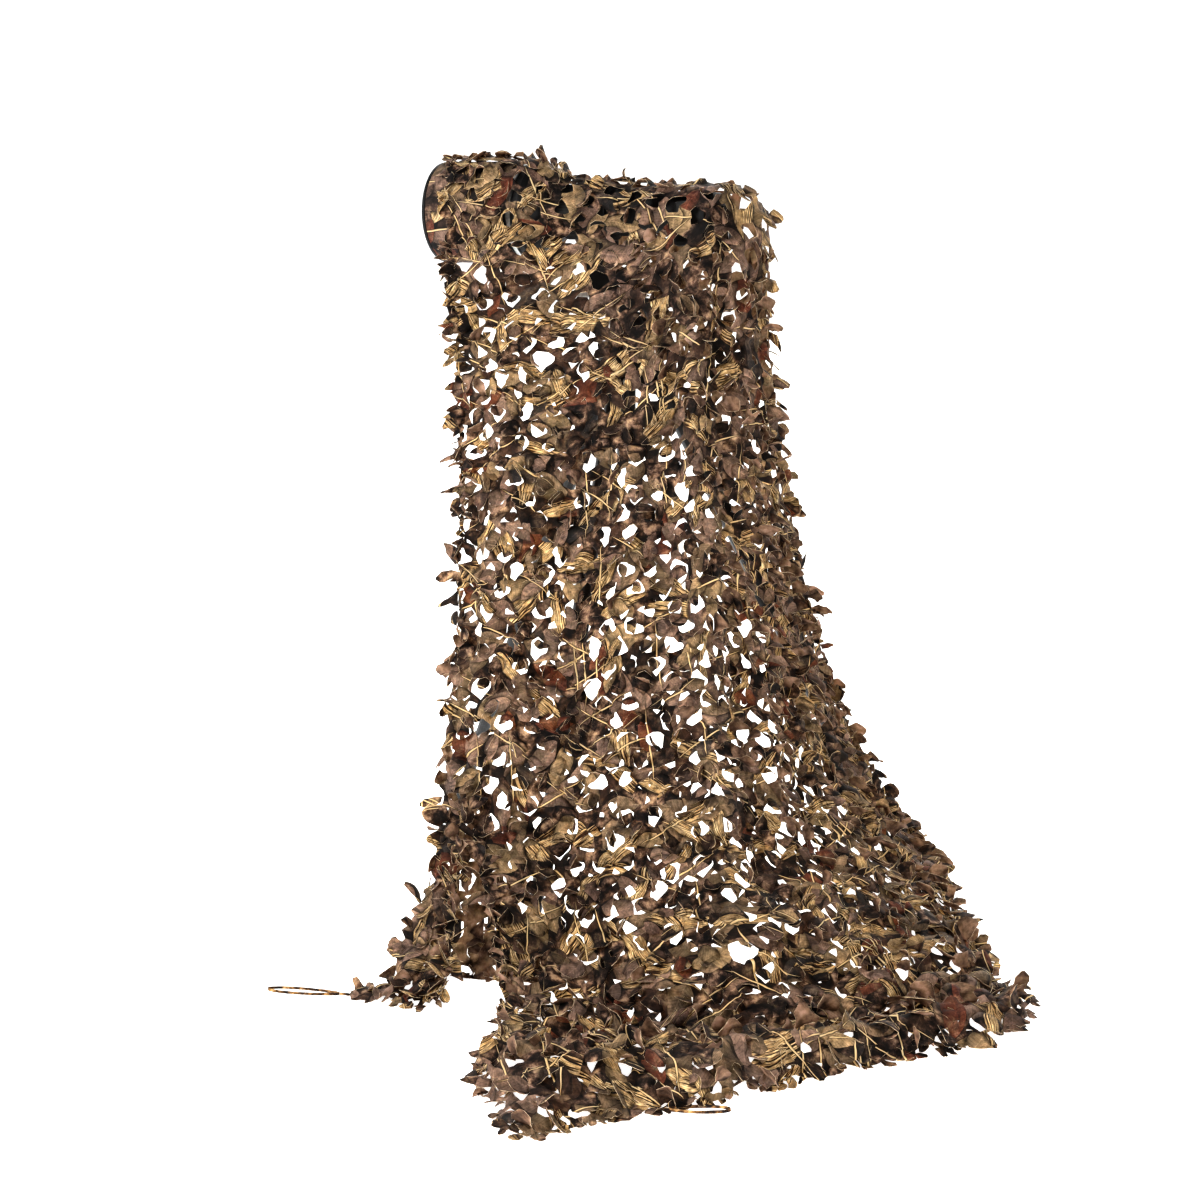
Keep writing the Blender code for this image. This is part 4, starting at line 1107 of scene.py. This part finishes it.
def leaf_flaps(name, rows):
    """One mesh of flaps. Each row: hinge on the table and as it hangs, way out from it on the table and as
    it hangs, normal, sizes (length, half width, lift, curl, twist and cup), and the number of its shape."""
    count = len(rows)
    table, hinge, table_way, way, out = (np.array([row[k] for row in rows]) for k in range(5))
    length, half, lift, curl, twist, cup = np.array([row[5] for row in rows]).T
    side = np.cross(out, way)
    side /= np.linalg.norm(side, axis=1, keepdims=True)
    table_side = np.stack([-table_way[:, 1], table_way[:, 0]], axis=1)
    places = np.zeros((count, STEPS, len(ACROSS), 3))
    maps = np.zeros((count, STEPS, len(ACROSS), 2))
    centre = hinge.copy()
    angle = lift.copy()
    step = (length / (STEPS - 1))[:, None]
    shapes = np.array(FLAP_SHAPES)[[row[6] for row in rows]]
    for k in range(STEPS):
        heading = np.cos(angle)[:, None] * way + np.sin(angle)[:, None] * out
        droop = heading - np.array([0, 0, DROOP * k])
        droop /= np.linalg.norm(droop, axis=1, keepdims=True)
        if k:
            centre = centre + droop * step
        upper = np.cross(droop, side)
        spin = (twist * k / (STEPS - 1))[:, None]
        across = np.cos(spin) * side + np.sin(spin) * upper
        for j, u in enumerate(ACROSS):
            ragged = np.where(half > 0.40 * length, 0.10, 0.30)
            wide = half * shapes[:, k] * (1 + ragged * pick.uniform(-1, 1, count))
            bulge = (cup * half * (1 - u * u) * shapes[:, k])[:, None]
            places[:, k, j] = centre + across * (u * wide)[:, None] + upper * bulge
            maps[:, k, j] = table + table_way * (k * step) + table_side * (u * wide)[:, None]
        angle = angle + curl / (STEPS - 1)
    places[..., 2] = np.maximum(places[..., 2], FLOOR + 0.0008 * pick.uniform(0, 1, places.shape[:-1]))
    wide = len(ACROSS)
    firsts = [k * wide + j for k in range(STEPS - 1) for j in range(wide - 1)]
    quads = np.array([(a, a + wide, a + wide + 1, a + 1) for a in firsts])
    every = (np.arange(count)[:, None, None] * STEPS * wide + quads[None]).reshape(-1, 4)
    piece = sewn_mesh(name, places.reshape(-1, 3).tolist(), every.tolist(), maps.reshape(-1, 2))
    give_thickness(piece)
    return piece


def flap_row(spot, way_on_table, length, half, lift, curl, twist, cup, kind):
    """A flap's row: where it is hinged, and which way it points once the cloth hangs."""
    _, root, out = hang(spot.x, spot.y)
    sizes = (length, half, lift, curl, twist, cup)
    for reach in (0.004, -0.004):
        near = spot + way_on_table * reach
        way = (hang(near.x, near.y)[1] - root) * math.copysign(1, reach)
        way -= out * way.dot(out)
        if way.length >= 0.0004:
            way.normalize()
            return tuple(spot.to_2d()), tuple(root), tuple(way_on_table), tuple(way), tuple(out), sizes, kind
    return None


ON_LENS, NEAR_FLOOR, FACES_UP = 1.06, 0.05, 0.30  # heights of a gap, and the upward part of a normal
STRIPS_HANG = (0.04, 1.10)  # between these heights the hem's strips hang free
ZONES = {  # how many flaps a gap has, their length, half width to length, lift in degrees, twist, shapes
    "hood": ((0, 0, 1), (0.030, 0.044), (0.38, 0.50), (0, 22), 0.15, (0, 3)),
    "lens": ((0, 1, 1, 2), (0.026, 0.040), (0.36, 0.50), (0, 28), 0.20, (0, 0, 3)),
    "hanging": ((1, 1, 2, 2), (0.022, 0.041), (0.24, 0.44), (20, 80), 0.60, (0, 0, 1, 2, 3)),
    "sloping": ((1, 1, 2, 2), (0.024, 0.044), (0.30, 0.48), (0, 36), 0.40, (0, 0, 1, 3)),
    "floor": ((1, 1, 2, 2), (0.028, 0.050), (0.32, 0.50), (4, 40), 0.35, (0, 0, 1, 3)),
}
rows = []
for middle, inner in cells:
    rim = [(points[index], cloth_map[index]) for index in inner]
    heights = [place.z for place, _ in rim]
    far = sum((place for place, _ in rim), Vector()) / 12 - STAND
    zone = "hanging"
    if max(heights) > ON_LENS:
        zone = "hood" if far.x < -0.16 else "lens"
    elif min(heights) < NEAR_FLOOR:
        zone = "floor"
    elif hang(*middle)[2].z > FACES_UP:
        zone = "sloping"
    counts, lengths, halves, lifts, twist, kinds = ZONES[zone]
    order = sorted(range(12), key=lambda k: -heights[k])
    for _ in range(pick.choice(counts)):
        k = order[pick.integers(0, 7)] if pick.uniform() < 0.7 else int(pick.integers(0, 12))
        spot = Vector(rim[k][1])
        inward = middle - spot
        if inward.length < 0.002:
            continue
        inward.normalize()
        inward.rotate(Matrix.Rotation(pick.normal(0, 0.35), 2))
        lift = math.radians(pick.uniform(*lifts))
        length = pick.uniform(*lengths)
        half = length * pick.uniform(*halves)
        bends = pick.normal(0.45, 0.6), pick.normal(0, twist), pick.normal(0.1, 0.25)
        if zone in ("hood", "lens"):
            bends = abs(bends[0]), *bends[1:]
        turn = pick.uniform()
        if zone == "hanging" and turn < 0.45:
            # As wide as the gap it was cut from, and still nearly in it, so that a crescent stays open.
            length, half = pick.uniform(0.024, 0.031), pick.uniform(0.0095, 0.0125)
            lift = math.radians(pick.uniform(8, 55))
            bends = pick.normal(0.1, 0.3), pick.normal(0, 0.25), pick.normal(0.1, 0.2)
        elif zone == "hanging" and turn < 0.70:
            lift = math.radians(pick.uniform(80, 150))
        elif zone != "hanging" and turn < 0.15:
            # A round flap that stands up and shows as a disc.
            length, half = pick.uniform(0.024, 0.033), pick.uniform(0.0120, 0.0160)
            lift = math.radians(pick.uniform(30, 70))
        if zone == "hanging" and pick.uniform() < 0.25 and not wraps_leg(far):
            lift = -lift * 0.6
        made = flap_row(spot, inward, length, half, lift, *bends, int(pick.choice(kinds)))
        if made:
            rows.append(made)
half_way = len(rows) // 2
flap_pieces = [
    leaf_flaps("leaf_flaps_left", rows[:half_way]),
    leaf_flaps("leaf_flaps_right", rows[half_way:]),
]

# The hem runs along the edges that have one face and don't lie round a gap.
round_gaps = {index for _, inner in cells for index in inner}
owners = {}
for face in faces:
    for a, b in zip(face, face[1:] + face[:1]):
        owners.setdefault((min(a, b), max(a, b)), []).append(face)
rows = []
for (a, b), owner in owners.items():
    start, end = Vector(cloth_map[a]), Vector(cloth_map[b])
    run = end - start
    if len(owner) > 1 or a in round_gaps or run.length < 0.002:
        continue
    away = Vector((run.y, -run.x)).normalized()
    middle = (start + end) / 2
    if sum(away.dot(Vector(cloth_map[k]) - middle) for k in owner[0]) > 0:
        away = -away
    lies = not STRIPS_HANG[0] < points[a].z < STRIPS_HANG[1]
    if pick.uniform() < 0.80:
        length = pick.uniform(0.010, 0.026) if lies else pick.uniform(0.016, 0.046)
        half = length * (pick.uniform(0.25, 0.50) if lies else pick.uniform(0.13, 0.36))
        way = away.copy()
        way.rotate(Matrix.Rotation(pick.normal(0, 0.5), 2))
        lift = math.radians(abs(pick.normal(5, 12)) if lies else pick.normal(10, 30))
        bends = pick.normal(0.2, 0.8), pick.normal(0, 0.3 if lies else 0.8), pick.normal(0.1, 0.25)
        if points[a].z > STRIPS_HANG[1]:
            bends = abs(bends[0]), *bends[1:]
        made = flap_row(middle, way, length, half, lift, *bends, int(pick.integers(0, 4)))
        if made:
            rows.append(made)
flap_pieces.append(leaf_flaps("hem_strips", rows))

for piece in (net_cloth, *flap_pieces):
    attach(piece, "root")
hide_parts("net")

# ---- Hood sleeve -------------------------------------------------------------------------------------
# A tube of stretch cloth faced with the same print, pulled over the hood: a turned hem at both ends, one
# seam underneath, and a few shallow wrinkles where it was pushed on.

SLEEVE_SPAN, SLEEVE_INNER, SLEEVE_WALL = (0.1920, 0.3410), 0.0838, 0.0024
HEM_DEPTH = 0.013
sleeve_long = SLEEVE_SPAN[1] - SLEEVE_SPAN[0]
bpy.ops.object.select_all(action="DESELECT")
bpy.ops.mesh.primitive_cylinder_add(
    vertices=96, radius=SLEEVE_INNER + SLEEVE_WALL, depth=sleeve_long, end_fill_type="NOTHING"
)
sleeve = bpy.context.object
for k in range(-11, 12):
    bpy.ops.object.mode_set(mode="EDIT")
    bpy.ops.mesh.select_all(action="SELECT")
    bpy.ops.mesh.bisect(plane_co=(0, 0, k * 0.0063), plane_no=(0, 0, 1))
    bpy.ops.object.mode_set(mode="OBJECT")
sleeve.data.uv_layers.new(name="cloth")
for face in sleeve.data.polygons:
    first = math.atan2(face.center.y, face.center.x)
    for loop_index, vertex in zip(face.loop_indices, face.vertices):
        spot = sleeve.data.vertices[vertex].co
        turn = math.atan2(spot.y, spot.x)
        turn += 2 * math.pi * round((first - turn) / (2 * math.pi))
        sleeve.data.uv_layers["cloth"].data[loop_index].uv = (turn * 0.086, spot.z + 0.4)
for vert in sleeve.data.vertices:
    turn = math.atan2(vert.co.y, vert.co.x)
    level = Vector((math.cos(turn), math.sin(turn), 0))
    wrinkle = noise.noise(Vector((level.x * 1.3, level.y * 1.3, vert.co.z * 70))) * 0.0011
    seam = 0.0007 * math.exp(-(((turn + math.pi / 2) / 0.02) ** 2))
    hem = 0.0009 if abs(abs(vert.co.z) - sleeve_long / 2) < HEM_DEPTH else 0.0
    vert.co += level * (abs(wrinkle) + seam + hem - 0.0004)
sleeve.data.materials.clear()
for made in (printed_stretch, plain_lining, plain_lining):
    sleeve.data.materials.append(made)
thicken(sleeve, SLEEVE_WALL, reverse=1)
bpy.ops.object.shade_smooth_by_angle(angle=math.radians(40))
sleeve.matrix_world = on_axis(sum(SLEEVE_SPAN) / 2)
bpy.ops.object.transform_apply(location=True, rotation=True, scale=True)
sleeve.name = sleeve.data.name = "hood_sleeve_cloth"
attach(sleeve, "root")
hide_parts("hood_sleeve")

# ---- Tie loops ---------------------------------------------------------------------------------------
# Two loops of 5 mm printed tape. They lie on the floor on edge, as the tape's stiffness holds them open.
# Their two ends run on together, turn down flat, and are sewn on under the corner or hem of the cloth.

LOOPS = (  # name, node, hem share, how far its root stands off the hem, tip, width, length of its ends
    ("tie_loop_left", "loop_left", 0.0, (-0.0006, 0.0), (-0.546, -0.594), 0.028, 0.045),
    ("tie_loop_front", "loop_front", 0.5, (0.0011, -0.0024), (0.126, -1.066), 0.026, 0.020),
)
TAPE_WIDTH, TAPE = 0.0048, 0.0013
ROUNDS, HIGH, END_STEPS = 56, 4, 8  # points round a loop, across its tape, and steps along its ends
CLEAR, STANDS = 0.0003, TAPE_WIDTH - 0.0008  # lowest edge above the floor, and height of a tape on edge
for loop_name, node, share, stand_off, tip, width, ends in LOOPS:
    root = rail(HEM, share) + Vector((*stand_off, 0))
    tip = Vector((*tip, root.z))
    along = (tip - root).normalized()
    across = Vector((-along.y, along.x, 0))
    length = (tip - root).length
    verts, spots = [], []
    travel = 0.0
    last = None
    for i in range(ROUNDS):
        turn = 2 * math.pi * i / ROUNDS
        swell = 1 - 0.35 * (1 + math.cos(turn)) / 2
        level = (root + tip) / 2 - along * math.cos(turn) * (length / 2 - 0.0011)
        level += across * math.sin(turn) * (width / 2 * swell - 0.0011)
        travel += (level - last).length if last else 0.0
        last = level
        lean = 0.0012 * noise.noise(Vector((travel * 30, share, 1))) + 0.0010 * math.sin(turn)
        outwards = (along * -math.cos(turn) + across * math.sin(turn)).normalized()
        dip = 0.0006 * noise.noise(Vector((travel * 40, 5, share)))
        for k in range(HIGH):
            t = k / (HIGH - 1)
            place = STAND + level + outwards * lean * (t - 0.5)
            place.z = CLEAR + (STANDS + dip) * t
            verts.append(place)
            spots.append((travel, t * TAPE_WIDTH + share))
    for i in range(END_STEPS + 1):
        done = i / END_STEPS
        lie = done * math.pi / 2
        for k in range(HIGH):
            t = k / (HIGH - 1)
            place = STAND + root - along * ends * done + across * TAPE_WIDTH * (t - 0.5) * math.sin(lie)
            place.z = CLEAR + 0.0006 * done + STANDS * t * math.cos(lie)
            verts.append(place)
            spots.append((travel + ends * done, t * TAPE_WIDTH + share))
    steps = [(i, (i + 1) % ROUNDS) for i in range(ROUNDS)]
    steps += [(ROUNDS + i, ROUNDS + i + 1) for i in range(END_STEPS)]
    starts = [(a * HIGH + k, b * HIGH + k) for a, b in steps for k in range(HIGH - 1)]
    tape = sewn_mesh(loop_name, verts, [(a, b, b + 1, a + 1) for a, b in starts], spots)
    # Where the round closes, its print reads on past the end of the tape.
    for face in tape.data.polygons:
        reach = [spots[vertex][0] for vertex in face.vertices]
        for loop_index, vertex in zip(face.loop_indices, face.vertices):
            if max(reach) - min(reach) > 0.05 and spots[vertex][0] < 0.01:
                tape.data.uv_layers["cloth"].data[loop_index].uv.x = travel + 0.003
    tape.data.materials.append(printed_tape)
    thicken(tape, TAPE, 0)
    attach(tape, "root")
    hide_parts(node)
